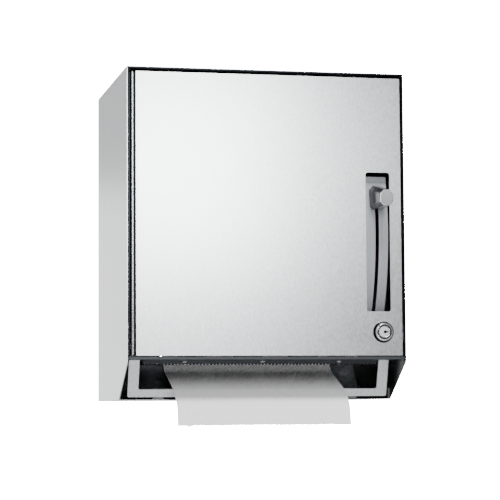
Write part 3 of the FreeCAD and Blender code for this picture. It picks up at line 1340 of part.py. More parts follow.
def biarc(start, start_tangent, end, end_tangent):
    """Two tangent arcs between two points with given tangents."""
    chord = end - start
    both = start_tangent + end_tangent
    level = 2 * (1 - start_tangent.dot(end_tangent))
    middle_term = chord.dot(both)
    reach = (math.sqrt(middle_term ** 2 + level * chord.dot(chord)) - middle_term) / level
    first_corner = start + start_tangent * reach
    last_corner = end - end_tangent * reach
    joint = (first_corner + last_corner) * 0.5
    return [corner_arc(start, first_corner, joint), corner_arc(joint, last_corner, end)]


def corner_arc(start, corner, end):
    """The arc from start to end that is tangent to the lines towards the corner."""
    middle = (start + end) * 0.5
    half = (end - start).Length / 2
    outward = corner - middle
    bend = math.atan2(outward.Length, half)
    return Part.Arc(start, middle + outward.normalize() * (half * math.tan(bend / 2)), end).toShape()


def coil(label, centre, start, length, radius, wire, turns, legs=(0, 0)):
    """A coil along X with straight legs, as one unbroken tube, and the least gap between its turns."""
    pitch = (length - wire) / turns
    points = helix_points(centre, start + wire / 2, pitch, radius, turns)
    edges = []
    if legs[0]:
        place, tangent = points[0]
        edges.append(Part.LineSegment(place - tangent * legs[0], place).toShape())
    for (place, tangent), (following, next_tangent) in zip(points, points[1:]):
        edges.extend(biarc(place, tangent, following, next_tangent))
    if legs[1]:
        place, tangent = points[-1]
        edges.append(Part.LineSegment(place, place + tangent * legs[1]).toShape())
    path = Part.Wire(edges)
    begin = path.Edges[0]
    direction = begin.tangentAt(begin.FirstParameter)
    ring = Part.Wire([Part.Circle(begin.valueAt(begin.FirstParameter), direction, wire / 2).toShape()])
    tube = path.makePipeShell([ring], True, False)
    gap = least_gap(edges, wire)
    print("%s: %d turns, least gap to itself %.2f mm" % (label, turns, gap))
    return solid_node(label, tube)


def least_gap(edges, wire):
    """Least gap of the tube to itself, measured on points a turn or so apart along it."""
    samples = []
    for edge in edges:
        samples.extend(edge.discretize(7)[:-1])
    least = 1e9
    apart = 18
    for index, here in enumerate(samples):
        for there in samples[index + apart:]:
            least = min(least, (here - there).Length)
    return least - wire


def make_springs():
    """Torsion spring that lifts the lever, and the coil that pushes the right hub into the roll."""
    pivot = Vector(0, value("pivot_y"), value("pivot_z"))
    start = value(PLATE_OUT) + 1.5
    length = value(LEVER_IN) - 0.5 - start
    wire = value("return_spring_wire")
    radius = value("lever_hub_diameter / 2") + 1.2 + wire / 2
    coil("return_spring", pivot, start, length, radius, wire, 5, (24, 24))
    roll = Vector(0, value(ROLL[0]), value(ROLL[1]))
    gap = value("loose_gap")
    low = value(PLUNGER_COLLAR[1]) + gap
    high = value(HOUSING_CAP[0]) - gap
    stem = value("plunger_diameter / 2")
    coil("plunger_spring", roll, low, high - low, stem + 2.6, 1.2, 7)


# Tear bar and small fasteners

def make_tear_blade():
    """Angle under the rail whose toothed edge hangs over the paper."""
    half = value("outlet_outer_width / 2 - outlet_leg") - 2
    front = value("outlet_front") - 1.2
    top = value(RAIL_BOTTOM)
    thick = value("sheet")
    root = top - 3.6
    tooth = 2.0
    pitch = 4.0
    count = math.floor(2 * half / pitch)
    edge = count * pitch / 2
    corners = [Vector(-edge, front - thick, top), Vector(-edge, front - thick, root)]
    for index in range(count):
        left = -edge + index * pitch
        corners.append(Vector(left + pitch / 2, front - thick, root - tooth))
        corners.append(Vector(left + pitch, front - thick, root))
    corners.append(Vector(edge, front - thick, top))
    blade = Part.Face(Part.makePolygon(corners + corners[:1])).extrude(Vector(0, thick, 0))
    leg = Part.makeBox(2 * edge, 12, thick, Vector(-edge, front - 12, top - thick))
    blade = blade.fuse(leg)
    for across in BLADE_SCREWS:
        foot = Vector(value(across), value(BLADE_SCREW_DEPTH), top - 2)
        blade = blade.cut(Part.makeCylinder(value(SMALL_HOLE) / 2, 4, foot, Vector(0, 0, 1)))
    solid_node("tear_blade", blade.removeSplitter())


def make_rail_screws():
    """Screws that hold the tear bar and the outlet frame's feet to the rail."""
    screw = small_screw(Vector(0, 0, 1), value("2 * sheet") - 0.1)
    under = value(RAIL_BOTTOM + " - sheet")
    depth = value(BLADE_SCREW_DEPTH)
    solids = [screw.translated(Vector(value(across), depth, under)) for across in BLADE_SCREWS]
    screw = small_screw(Vector(0, 0, 1), value("2 + sheet") - 0.1)
    for side in (-1, 1):
        place = Vector(side * value(FOOT_SCREW_X), value(FOOT_SCREW_DEPTH), value(RAIL_BOTTOM) - 2)
        solids.append(screw.translated(place))
    solid_node("rail_screws", Part.makeCompound(solids))


def make_guard_screws():
    screw = frame_screw(Vector(-1, 0, 0), value("guard_sheet + side_plate_sheet") - 0.1)
    start = value(PLATE_OUT + " + guard_sheet")
    solids = [screw.translated(Vector(start, place.y, place.z)) for place in guard_screw_places()]
    solid_node("guard_screws", Part.makeCompound(solids))


# The whole part

def make_all():
    make_cabinet()
    make_top_panel()
    make_bottom_panel()
    make_case_rivets()
    make_lower_rail()
    make_outlet_frame()
    make_door_panel()
    make_hinge()
    make_lock()
    make_lock_strike()
    make_frame()
    make_paper()
    make_chute()
    make_lever()
    make_knob()
    make_guard()
    make_pivot()
    make_bumpers()
    make_pinion()
    make_drive()
    make_pinch()
    make_pinch_springs()
    make_hubs()
    make_springs()
    make_tear_blade()
    make_rail_screws()
    make_guard_screws()


def check_all():
    """Stops before anything is written if an object failed or a piece's shape is not sound."""
    DOC.recompute()
    for thing in DOC.Objects:
        if "Invalid" in thing.State or "Error" in thing.State:
            raise RuntimeError("%s failed: %s" % (thing.Label, thing.State))
    for piece in NODES:
        if piece.Shape.isNull() or not piece.Shape.isValid() or not piece.Shape.Solids:
            raise RuntimeError("%s has no sound shape" % piece.Label)


def write_all():
    os.makedirs("parts", exist_ok=True)
    for piece in NODES:
        piece.Shape.exportStep("parts/%s.step" % piece.Label)
    print("%d pieces written" % len(NODES))


make_all()
check_all()
write_all()
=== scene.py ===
"""Looks of a wall-mounted lever towel dispenser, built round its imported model.

Lengths in the code are in metres, and the sizes in the panel are in millimetres.
"""

import json
import math
import random

import bmesh
import bpy
from mathutils import Matrix, Vector

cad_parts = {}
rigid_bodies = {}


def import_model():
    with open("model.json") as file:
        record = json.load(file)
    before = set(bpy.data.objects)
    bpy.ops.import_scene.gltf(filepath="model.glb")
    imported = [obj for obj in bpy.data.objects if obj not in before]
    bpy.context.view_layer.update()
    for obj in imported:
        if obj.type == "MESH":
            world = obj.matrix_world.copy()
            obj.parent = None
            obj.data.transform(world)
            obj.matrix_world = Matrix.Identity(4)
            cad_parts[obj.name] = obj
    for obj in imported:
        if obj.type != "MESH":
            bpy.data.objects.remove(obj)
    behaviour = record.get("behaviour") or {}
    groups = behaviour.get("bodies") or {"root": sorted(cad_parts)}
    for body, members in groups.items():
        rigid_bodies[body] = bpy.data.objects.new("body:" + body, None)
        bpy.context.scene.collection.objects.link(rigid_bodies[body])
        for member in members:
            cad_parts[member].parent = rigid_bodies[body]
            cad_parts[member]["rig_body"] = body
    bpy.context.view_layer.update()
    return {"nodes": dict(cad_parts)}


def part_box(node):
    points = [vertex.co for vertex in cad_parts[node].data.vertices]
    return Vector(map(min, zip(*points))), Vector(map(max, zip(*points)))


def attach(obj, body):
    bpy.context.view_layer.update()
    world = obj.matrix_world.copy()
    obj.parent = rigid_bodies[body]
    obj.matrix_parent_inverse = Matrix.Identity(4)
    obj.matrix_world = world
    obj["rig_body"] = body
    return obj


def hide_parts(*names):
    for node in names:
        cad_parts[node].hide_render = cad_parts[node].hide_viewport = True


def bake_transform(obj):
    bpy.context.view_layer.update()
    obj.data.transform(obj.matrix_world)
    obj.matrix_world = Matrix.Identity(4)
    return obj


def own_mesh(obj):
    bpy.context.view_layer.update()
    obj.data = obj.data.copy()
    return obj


bl_info = {
    "name": "Lever towel dispenser",
    "version": (1, 0, 0),
    "blender": (4, 5, 0),
    "location": "View3D > Sidebar > Dispenser",
    "description": "Dresses the packed model of a stainless lever towel dispenser",
    "category": "Add Mesh",
}

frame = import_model()
MM = 0.001
# Half the thickness of the cabinet's sheet, which parts its outside from its inside.
SKIN = 0.45 * MM


# Settings shown in the sidebar

class DispenserSizes(bpy.types.PropertyGroup):
    """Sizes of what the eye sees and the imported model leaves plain"""
    sheet_edge: bpy.props.FloatProperty(
        name="Folded edge", description="Radius of the cabinet's cut and folded edges, in mm",
        default=0.45, min=0.05, max=0.6)
    knob_edge: bpy.props.FloatProperty(
        name="Knob edge", description="Radius of the knob's moulded edges, in mm",
        default=0.7, min=0.1, max=1.5)
    small_edge: bpy.props.FloatProperty(
        name="Small edge", description="Radius on the lock, guard and outlet frame, in mm",
        default=0.3, min=0.05, max=0.8)
    ridge_pitch: bpy.props.FloatProperty(
        name="Ridge pitch", description="Distance between the fine ridges of the lever guard, in mm",
        default=1.7, min=0.8, max=4)
    ridge_height: bpy.props.FloatProperty(
        name="Ridge height", description="How far a ridge of the lever guard stands out, in mm",
        default=0.35, min=0.1, max=0.45)
    towel_sheet: bpy.props.FloatProperty(
        name="Towel thickness", description="Thickness of the embossed towel, in mm",
        default=0.35, min=0.1, max=0.5)
    towel_cell: bpy.props.FloatProperty(
        name="Towel mesh", description="Distance between the points of the towel's mesh, in mm",
        default=1.5, min=1, max=6)
    tear_tooth: bpy.props.FloatProperty(
        name="Tear tooth", description="Distance between the teeth of the torn edge, in mm",
        default=3.1, min=1, max=8)
    emboss_pitch: bpy.props.FloatProperty(
        name="Emboss pitch", description="Distance between the diagonal rows of the embossing, in mm",
        default=3.2, min=1, max=8)
    roll_layers: bpy.props.IntProperty(
        name="Roll layers", description="Rings that show on the roll's ends",
        default=44, min=8, max=90)


class DispenserColours(bpy.types.PropertyGroup):
    """Colours of the finishes"""
    stainless: bpy.props.StringProperty(
        name="Stainless", description="Brushed cabinet steel, sRGB", default="#C6C9CB")
    plain_steel: bpy.props.StringProperty(
        name="Plain steel", description="Cold-rolled steel, sRGB", default="#B4B7BA")
    zinc: bpy.props.StringProperty(
        name="Zinc", description="Bright zinc plating, sRGB", default="#AEB3B8")
    spring: bpy.props.StringProperty(
        name="Spring", description="Oiled spring wire, sRGB", default="#6C6F73")
    # Painted shade: the dark laid on the hem noses, the hinge's sides, the lock's ring, the keyway and the
    # knob's left flank.
    painted_shade_dark: bpy.props.StringProperty(
        name="Painted shade dark", description="Dark noses and hinge flanks, sRGB", default="#15171A")
    # Painted shade: the rail, the tear bar and the cabinet's inner faces get this dark grey for the shade
    # they lie in.
    painted_shade_grey: bpy.props.StringProperty(
        name="Painted shade grey", description="Rail, tear bar and inside of the cabinet, sRGB", default="#3A3D40")
    chrome: bpy.props.StringProperty(
        name="Chrome", description="Chrome plate, sRGB", default="#E3E4E6")
    plug: bpy.props.StringProperty(
        name="Plug", description="Satin nickel plug, sRGB", default="#D4D6D8")
    guard: bpy.props.StringProperty(
        name="Guard", description="Moulded guard, sRGB", default="#8B8F93")
    knob: bpy.props.StringProperty(
        name="Knob", description="Satin plated knob, sRGB", default="#A3A6A9")
    black_plastic: bpy.props.StringProperty(
        name="Black plastic", description="Hubs and housing, sRGB", default="#26282A")
    rubber: bpy.props.StringProperty(
        name="Rubber", description="Rollers and stops, sRGB", default="#1D1E1F")
    acetal: bpy.props.StringProperty(
        name="Acetal", description="Pinion and bushings, sRGB", default="#DEDDD6")
    galvanised: bpy.props.StringProperty(
        name="Galvanised", description="Chute sheet, sRGB", default="#7C8186")
    towel: bpy.props.StringProperty(
        name="Towel", description="Bleached towel, sRGB", default="#EDEEEE")
    board: bpy.props.StringProperty(
        name="Board", description="Grey-brown core board, sRGB", default="#A58B6B")
    floor: bpy.props.StringProperty(
        name="Floor", description="Studio floor, sRGB", default="#F1F1F0")


# Nodes and colours

def linear(text):
    """An sRGB hex colour as linear red, green, blue and a full alpha."""
    parts = [int(text[index:index + 2], 16) / 255 for index in (1, 3, 5)]
    return [p / 12.92 if p <= 0.04045 else ((p + 0.055) / 1.055) ** 2.4 for p in parts] + [1.0]


def add(tree, kind, inputs=None, **settings):
    """A node with its settings, and its inputs set to a value or linked to another node's output."""
    made = tree.nodes.new(kind)
    for name, setting in settings.items():
        setattr(made, name, setting)
    for name, given in (inputs or {}).items():
        if isinstance(given, bpy.types.NodeSocket):
            tree.links.new(given, made.inputs[name])
        else:
            made.inputs[name].default_value = given
    return made


def new_material(name, colour, **shader):
    """A material with its shader, and the tree to go on with."""
    material = bpy.data.materials.new(name)
    material.use_nodes = True
    tree = material.node_tree
    tree.nodes.clear()
    principled = add(tree, "ShaderNodeBsdfPrincipled", {"Base Color": linear(colour)})
    for socket, number in shader.items():
        principled.inputs[socket.replace("_", " ")].default_value = number
    add(tree, "ShaderNodeOutputMaterial", {"Surface": principled.outputs["BSDF"]})
    return material, tree, principled


def maths(tree, operation, *numbers):
    """The outcome of one operation on numbers, each a value or another node's output."""
    return add(tree, "ShaderNodeMath", dict(enumerate(numbers)), operation=operation).outputs["Value"]


def between(tree, number, start, full):
    """A smooth step from 0 at start to 1 at full, upwards or downwards."""
    return add(tree, "ShaderNodeMapRange", {"Value": number, "From Min": start, "From Max": full},
               interpolation_type="SMOOTHSTEP").outputs["Result"]


def object_axes(tree):
    """X, Y and Z of a point in the object's own frame."""
    place = add(tree, "ShaderNodeTexCoord")
    return add(tree, "ShaderNodeSeparateXYZ", {"Vector": place.outputs["Object"]}).outputs


def off_axis(tree, node):
    """The distance of a point from the node's own axis along Y."""
    low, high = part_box(node)
    centre = (low + high) / 2
    axes = object_axes(tree)
    across = maths(tree, "SUBTRACT", axes["X"], centre.x)
    upward = maths(tree, "SUBTRACT", axes["Z"], centre.z)
    flat = add(tree, "ShaderNodeCombineXYZ", {"X": across, "Z": upward}).outputs["Vector"]
    return add(tree, "ShaderNodeVectorMath", {0: flat}, operation="LENGTH").outputs["Value"]


def stretched_noise(tree, stretch, detail=3.0, rough=0.6):
    """Noise on Object coordinates, with its scale along each axis in cells a metre."""
    place = add(tree, "ShaderNodeTexCoord")
    mapping = add(tree, "ShaderNodeMapping", {"Vector": place.outputs["Object"], "Scale": stretch})
    given = {"Vector": mapping.outputs["Vector"], "Scale": 1.0, "Detail": detail, "Roughness": rough}
    return add(tree, "ShaderNodeTexNoise", given).outputs["Fac"]


def mottle(tree, principled, noise, colour, spread):
    """Colour that wanders a little about the material's own, lighter and darker by spread."""
    dark = [c * (1 - spread) for c in linear(colour)[:3]] + [1.0]
    light = [min(1.0, c * (1 + spread)) for c in linear(colour)[:3]] + [1.0]
    mix = add(tree, "ShaderNodeMix", {"Factor": noise}, data_type="RGBA")
    mix.inputs["A"].default_value = dark
    mix.inputs["B"].default_value = light
    tree.links.new(mix.outputs["Result"], principled.inputs["Base Color"])


def darken(tree, principled, share, colour):
    """Lays a darker colour over the material's own where share is 1."""
    mix = add(tree, "ShaderNodeMix", {"Factor": share}, data_type="RGBA")
    own = principled.inputs["Base Color"]
    if own.is_linked:
        tree.links.new(own.links[0].from_socket, mix.inputs["A"])
    else:
        mix.inputs["A"].default_value = own.default_value
    mix.inputs["B"].default_value = linear(colour)
    tree.links.new(mix.outputs["Result"], own)


def vary_roughness(tree, principled, noise, low, high):
    """Roughness that goes from low to high with the noise."""
    given = {"Value": noise, "From Min": 0.3, "From Max": 0.7, "To Min": low, "To Max": high}
    span = add(tree, "ShaderNodeMapRange", given)
    tree.links.new(span.outputs["Result"], principled.inputs["Roughness"])


def add_bump(tree, principled, height, depth_mm, strength=1.0):
    """Relief that follows the height, and is depth_mm deep."""
    bump = add(tree, "ShaderNodeBump", {"Height": height, "Distance": depth_mm * MM, "Strength": strength})
    tree.links.new(bump.outputs["Normal"], principled.inputs["Normal"])


def reopened(material):
    """The tree and the shader of a material that another finish goes on from."""
    tree = material.node_tree
    return tree, next(node for node in tree.nodes if node.type == "BSDF_PRINCIPLED")


# Finishes

def colours():
    return bpy.context.scene.dispenser_colours


def sizes():
    return bpy.context.scene.dispenser_sizes


def finish(name):
    """The named finish, made once."""
    return bpy.data.materials.get(name) or FINISHES[name](name)


# Width and length of a brush stroke, in mm. The real ones, about 0.15 mm wide, are too fine to show.
STROKE = (1.6, 4.0)
# How much of the painted shade colour covers the cabinet's inner faces, standing for the shade inside.
INNER_PAINTED_SHADE = 0.85
# Where the painted shade on the hem noses is full and where it ends, behind the cabinet's front.
NOSE_PAINTED_SHADE = (0.6 * MM, 1.6 * MM)
# Where a hinge knuckle's bright crown ends and the painted shade down its side is full, beside the pin's
# axis.
KNUCKLE_CROWN = (0.9 * MM, 1.5 * MM)
# The dark ring on the lock's flange, a painted reflection of dark surroundings: where it starts and is full
# at the cone, then where it ends and is still full at the rim, all inward from the flange's edge.
RING_AT_CONE = (2.9 * MM, 2.3 * MM)
RING_AT_RIM = (0.25 * MM, 0.5 * MM)
# Where the painted shade in the keyway starts and where it is full, behind the plug's face.
KEYWAY_DEPTH = (0.35 * MM, 0.7 * MM)


def brushed_stainless(name):
    """Type 304 sheet, belt-brushed upright: a soft satin with short upright strokes and a faint mottle."""
    colour = colours().stainless
    material, tree, principled = new_material(name, colour, Metallic=1.0, Roughness=0.31)
    wide, long = STROKE
    strokes = stretched_noise(tree, (1000 / wide, 1000 / wide, 1000 / long), 2.0, 0.6)
    mottle(tree, principled, strokes, colour, 0.32)
    vary_roughness(tree, principled, strokes, 0.285, 0.335)
    add_bump(tree, principled, strokes, 0.01, 0.4)
    return material


def folded_stainless_painted_shade(name):
    """The cabinet's brushed sheet, with painted shade over its inner faces and on its hemmed noses."""
    material = brushed_stainless(name)
    tree, principled = reopened(material)
    axes = object_axes(tree)
    low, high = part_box("cabinet_shell")
    within_walls = between(tree, maths(tree, "ABSOLUTE", axes["X"]), high.x - SKIN, high.x - 2 * SKIN)
    under_top = between(tree, axes["Z"], high.z - SKIN, high.z - 2 * SKIN)
    before_back = between(tree, axes["Y"], high.y - SKIN, high.y - 2 * SKIN)
    over_floor = between(tree, axes["Z"], low.z + SKIN, low.z + 2 * SKIN)
    at_front = between(tree, axes["Y"], low.y + NOSE_PAINTED_SHADE[1], low.y + NOSE_PAINTED_SHADE[0])
    within = maths(tree, "MULTIPLY", within_walls, under_top)
    inner = maths(tree, "MULTIPLY", maths(tree, "MULTIPLY", within, before_back), over_floor)
    painted_nose_shade = maths(tree, "MULTIPLY", within, at_front)
    # Painted shade over the cabinet's inner faces, then on the hem noses.
    darken(tree, principled, maths(tree, "MULTIPLY", inner, INNER_PAINTED_SHADE), colours().painted_shade_grey)
    darken(tree, principled, painted_nose_shade, colours().painted_shade_dark)
    return material


def hinge_steel_painted_shade(name):
    """Rolled stainless knuckles: bright on their crowns, with painted shade down both sides."""
    material = cold_rolled_steel(name)
    tree, principled = reopened(material)
    low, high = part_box("hinge_pin")
    beside = maths(tree, "SUBTRACT", object_axes(tree)["X"], (low.x + high.x) / 2)
    painted_side_shade = between(tree, maths(tree, "ABSOLUTE", beside), *KNUCKLE_CROWN)
    darken(tree, principled, painted_side_shade, colours().painted_shade_dark)
    return material


def painted_shade_stainless(name):
    """Mill-finish stainless behind the door's lower edge, painted dark grey for the shade it lies in."""
    colour = colours().painted_shade_grey
    material, tree, principled = new_material(name, colour, Metallic=0.8, Roughness=0.55)
    grain = stretched_noise(tree, (60.0, 700.0, 700.0), 3.0)
    mottle(tree, principled, grain, colour, 0.12)
    vary_roughness(tree, principled, grain, 0.48, 0.62)
    return material


def cold_rolled_steel(name):
    """Stainless strip as it leaves the rolls: smoother and brighter than the brushed sheet."""
    colour = colours().plain_steel
    material, tree, principled = new_material(name, colour, Metallic=1.0, Roughness=0.28)
    grain = stretched_noise(tree, (60.0, 900.0, 900.0), 3.0)
    mottle(tree, principled, grain, colour, 0.05)
    vary_roughness(tree, principled, grain, 0.22, 0.36)
    return material


def zinc_plate(name):
    """Pressed steel, bright zinc plated: a bluish, slightly cloudy shine."""
    colour = colours().zinc
    material, tree, principled = new_material(name, colour, Metallic=1.0, Roughness=0.34)
    clouds = stretched_noise(tree, (90.0, 90.0, 90.0), 4.0)
    mottle(tree, principled, clouds, colour, 0.10)
    vary_roughness(tree, principled, clouds, 0.26, 0.46)
    return material


def spring_wire(name):
    """Drawn and oiled spring steel: dark, with a soft shine along the wire."""
    colour = colours().spring
    material, tree, principled = new_material(name, colour, Metallic=1.0, Roughness=0.3)
    grain = stretched_noise(tree, (700.0, 700.0, 700.0), 2.0)
    mottle(tree, principled, grain, colour, 0.12)
    vary_roughness(tree, principled, grain, 0.24, 0.4)
    return material


def chrome_plate(name):
    """Die-cast zinc, polished and chrome plated: a mirror with a slight orange peel."""
    colour = colours().chrome
    material, tree, principled = new_material(name, colour, Metallic=1.0, Roughness=0.12)
    peel = stretched_noise(tree, (600.0, 600.0, 600.0), 1.0)
    vary_roughness(tree, principled, peel, 0.09, 0.17)
    add_bump(tree, principled, peel, 0.01, 0.25)
    return material


def lock_chrome_painted_dark_ring(name):
    """Chrome plate, with a painted reflection: a dark ring round the foot of the cone between two bright
    turned edges.
    """
    material = chrome_plate(name)
    tree, principled = reopened(material)
    away = off_axis(tree, "lock_plug")
    low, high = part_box("lock_body")
    foot = (high.x - low.x) / 2
    past_cone = between(tree, away, foot - RING_AT_CONE[0], foot - RING_AT_CONE[1])
    inside_rim = between(tree, away, foot - RING_AT_RIM[0], foot - RING_AT_RIM[1])
    darken(tree, principled, maths(tree, "MULTIPLY", past_cone, inside_rim), colours().painted_shade_dark)
    return material


def keyed_nickel(name):
    """Satin nickel plug face, with painted shade in the keyway."""
    colour = colours().plug
    material, tree, principled = new_material(name, colour, Metallic=1.0, Roughness=0.38)
    turned = stretched_noise(tree, (1500.0, 1500.0, 1500.0), 2.0)
    mottle(tree, principled, turned, colour, 0.08)
    vary_roughness(tree, principled, turned, 0.32, 0.44)
    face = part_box("lock_plug")[0].y
    painted_keyway_shade = between(tree, object_axes(tree)["Y"], face + KEYWAY_DEPTH[0], face + KEYWAY_DEPTH[1])
    darken(tree, principled, painted_keyway_shade, colours().painted_shade_dark)
    return material


def ribbed_plastic(name):
    """ABS, moulded and fine-textured: dull grey, with a soft sheen."""
    colour = colours().guard
    material, tree, principled = new_material(name, colour, Roughness=0.42)
    grain = stretched_noise(tree, (1600.0, 500.0, 500.0), 3.0)
    mottle(tree, principled, grain, colour, 0.06)
    vary_roughness(tree, principled, grain, 0.36, 0.5)
    add_bump(tree, principled, grain, 0.03, 0.4)
    return material


def satin_knob(name):
    """ABS with a satin chrome plating, a little smoother where it is worn, with painted shade on its left
    flank.
    """
    colour = colours().knob
    material, tree, principled = new_material(name, colour, Metallic=1.0, Roughness=0.22)
    grain = stretched_noise(tree, (1500.0, 1500.0, 1500.0), 2.0)
    wear = stretched_noise(tree, (60.0, 60.0, 60.0), 2.0)
    mottle(tree, principled, grain, colour, 0.04)
    painted_flank_shade = add(tree, "ShaderNodeAttribute", attribute_name="painted_flank_shade").outputs["Fac"]
    darken(tree, principled, painted_flank_shade, colours().painted_shade_dark)
    vary_roughness(tree, principled, wear, 0.2, 0.27)
    add_bump(tree, principled, grain, 0.01, 0.3)
    return material


def black_plastic(name):
    """Glass-filled nylon, moulded: near black, satin, with a faint flow pattern."""
    colour = colours().black_plastic
    material, tree, principled = new_material(name, colour, Roughness=0.48)
    flow = stretched_noise(tree, (120.0, 300.0, 300.0), 4.0)
    mottle(tree, principled, flow, colour, 0.15)
    vary_roughness(tree, principled, flow, 0.4, 0.58)
    return material


def ground_rubber(name):
    """Nitrile rubber, ground to size: dull black with fine rings round the roller."""
    colour = colours().rubber
    material, tree, principled = new_material(name, colour, Roughness=0.75)
    rings = stretched_noise(tree, (1400.0, 60.0, 60.0), 2.0)
    mottle(tree, principled, rings, colour, 0.2)
    add_bump(tree, principled, rings, 0.06, 0.6)
    return material


def acetal(name):
    """Natural acetal, moulded: milky white and waxy."""
    colour = colours().acetal
    material, tree, principled = new_material(name, colour, Roughness=0.32, Subsurface_Weight=0.1)
    cloud = stretched_noise(tree, (200.0, 200.0, 200.0), 2.0)
    mottle(tree, principled, cloud, colour, 0.03)
    vary_roughness(tree, principled, cloud, 0.27, 0.4)
    return material


def galvanised_sheet(name):
    """Hot-dip galvanised steel: grey crystals about 6 mm across, some duller than others."""
    colour = colours().galvanised
    material, tree, principled = new_material(name, colour, Metallic=0.9, Roughness=0.45)
    place = add(tree, "ShaderNodeTexCoord")
    crystals = add(tree, "ShaderNodeTexVoronoi", {"Vector": place.outputs["Object"], "Scale": 1000 / 6.0})
    single = add(tree, "ShaderNodeSeparateColor", {"Color": crystals.outputs["Color"]})
    mottle(tree, principled, single.outputs["Red"], colour, 0.14)
    vary_roughness(tree, principled, single.outputs["Green"], 0.38, 0.58)
    return material


def towel_paper(name):
    """Bleached single-ply towel, pressed with a fine diagonal diamond pattern."""
    colour = colours().towel
    material, tree, principled = new_material(name, colour, Roughness=0.92, Sheen_Weight=0.15)
    rows = 2 * math.pi / (sizes().emboss_pitch * MM)
    flat = add(tree, "ShaderNodeUVMap", uv_map="towel_mm")
    parts = add(tree, "ShaderNodeSeparateXYZ", {"Vector": flat.outputs["UV"]})
    waves = []
    for lean in (0.8, -0.8):
        leaned = maths(tree, "MULTIPLY", parts.outputs["Y"], lean)
        across = maths(tree, "ADD", parts.outputs["X"], leaned)
        waves.append(maths(tree, "SINE", maths(tree, "MULTIPLY", across, rows)))
    cells = maths(tree, "ADD", *waves)
    fibres = stretched_noise(tree, (900.0, 900.0, 900.0), 4.0, 0.7)
    height = maths(tree, "MULTIPLY_ADD", cells, 0.25, fibres)
    # The colour follows the fibres, which are the paper's own tone, and the embossing, as painted shade in
    # its hollows.
    mottle(tree, principled, height, colour, 0.12)
    add_bump(tree, principled, height, 0.4, 1.0)
    return material


def roll_paper(name):
    """The wound towel: white and matt, with a faint mottle of fibres."""
    colour = colours().towel
    material, tree, principled = new_material(name, colour, Roughness=0.95)
    fibres = stretched_noise(tree, (500.0, 260.0, 260.0), 4.0, 0.7)
    mottle(tree, principled, fibres, colour, 0.06)
    add_bump(tree, principled, fibres, 0.3, 0.6)
    return material


def core_board(name):
    """Wound grey-brown board, rough with fibres."""
    colour = colours().board
    material, tree, principled = new_material(name, colour, Roughness=0.85)
    fibres = stretched_noise(tree, (400.0, 1200.0, 1200.0), 4.0, 0.7)
    mottle(tree, principled, fibres, colour, 0.15)
    add_bump(tree, principled, fibres, 0.1, 0.5)
    return material


FINISHES = {
    "belt_brushed_stainless": brushed_stainless,
    "folded_stainless_painted_shade": folded_stainless_painted_shade,
    "hinge_steel_painted_shade": hinge_steel_painted_shade,
    "painted_shade_stainless": painted_shade_stainless,
    "cold_rolled_steel": cold_rolled_steel,
    "zinc_plate": zinc_plate,
    "spring_wire": spring_wire,
    "lock_chrome_painted_dark_ring": lock_chrome_painted_dark_ring,
    "keyed_nickel": keyed_nickel,
    "ribbed_plastic": ribbed_plastic,
    "satin_knob": satin_knob,
    "black_plastic": black_plastic,
    "ground_rubber": ground_rubber,
    "acetal": acetal,
    "galvanised_sheet": galvanised_sheet,
    "embossed_towel": towel_paper,
    "roll_paper": roll_paper,
    "core_board": core_board,
}


# Meshes

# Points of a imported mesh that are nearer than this, in metres, are one point.
SAME_POINT = 1e-6
# Faces that turn by less than this from each other, in degrees, are one flat face.
FLAT_TURN = 0.4


def dress(finish_name, *nodes):
    """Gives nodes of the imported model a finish."""
    for node in nodes:
        slots = frame["nodes"][node].data.materials
        slots.clear()
        slots.append(finish(finish_name))


def placed(name, data):
    """A new object in the scene."""
    made = bpy.data.objects.new(name, data)
    bpy.context.scene.collection.objects.link(made)
    return made


def new_piece(name, mesh, finish_name, body):
    """A piece with its finish, on its body unless it joins two of them."""
    piece = placed(name, mesh)
    mesh.materials.clear()
    mesh.materials.append(finish(finish_name))
    if body:
        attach(piece, body)
    return piece


def joined_points(node):
    """A node's mesh to work on, with its doubled points joined."""
    made = bmesh.new()
    made.from_mesh(frame["nodes"][node].data)
    bmesh.ops.remove_doubles(made, verts=made.verts, dist=SAME_POINT)
    return made


def settled(made, name):
    """The worked mesh as one that an object can hold."""
    mesh = bpy.data.meshes.new(name)
    made.to_mesh(mesh)
    made.free()
    return mesh


def smoothed(mesh, turn):
    """The mesh shaded smooth, but for edges that turn by more than so many degrees."""
    mesh.shade_smooth()
    mesh.set_sharp_from_angle(angle=math.radians(turn))
    return mesh


def baked(scratch, name):
    """The mesh of a scratch object with its modifiers worked in. The object itself goes."""
    graph = bpy.context.evaluated_depsgraph_get()
    mesh = bpy.data.meshes.new_from_object(scratch.evaluated_get(graph))
    bpy.data.objects.remove(scratch)
    mesh.name = name
    return mesh


def eased(node, name, finish_name, radius, turn=35):
    """A copy of a node with its edges rounded, which stands for the node."""
    made = joined_points(node)
    flat = math.radians(FLAT_TURN)
    bmesh.ops.dissolve_limit(made, angle_limit=flat, verts=made.verts, edges=made.edges)
    bmesh.ops.recalc_face_normals(made, faces=made.faces)
    mesh = settled(made, name)
    mesh.shade_smooth()
    scratch = placed(name + "_scratch", mesh)
    bevel = scratch.modifiers.new("edges", "BEVEL")
    bevel.width = radius
    bevel.segments = 2
    bevel.limit_method = "ANGLE"
    bevel.angle_limit = math.radians(turn)
    bevel.use_clamp_overlap = True
    flatten = scratch.modifiers.new("flat_faces", "WEIGHTED_NORMAL")
    flatten.mode = "FACE_AREA"
    flatten.weight = 100
    body = frame["nodes"][node]["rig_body"]
    piece = new_piece(name, baked(scratch, name), finish_name, body)
    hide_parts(node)
    return piece


def copied(node, name, finish_name, body):
    """A merged copy of a node, which stands for it where the real one bends or closes with a joint."""
    mesh = smoothed(settled(joined_points(node), name), 40)
    piece = new_piece(name, mesh, finish_name, body)
    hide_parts(node)
    return piece


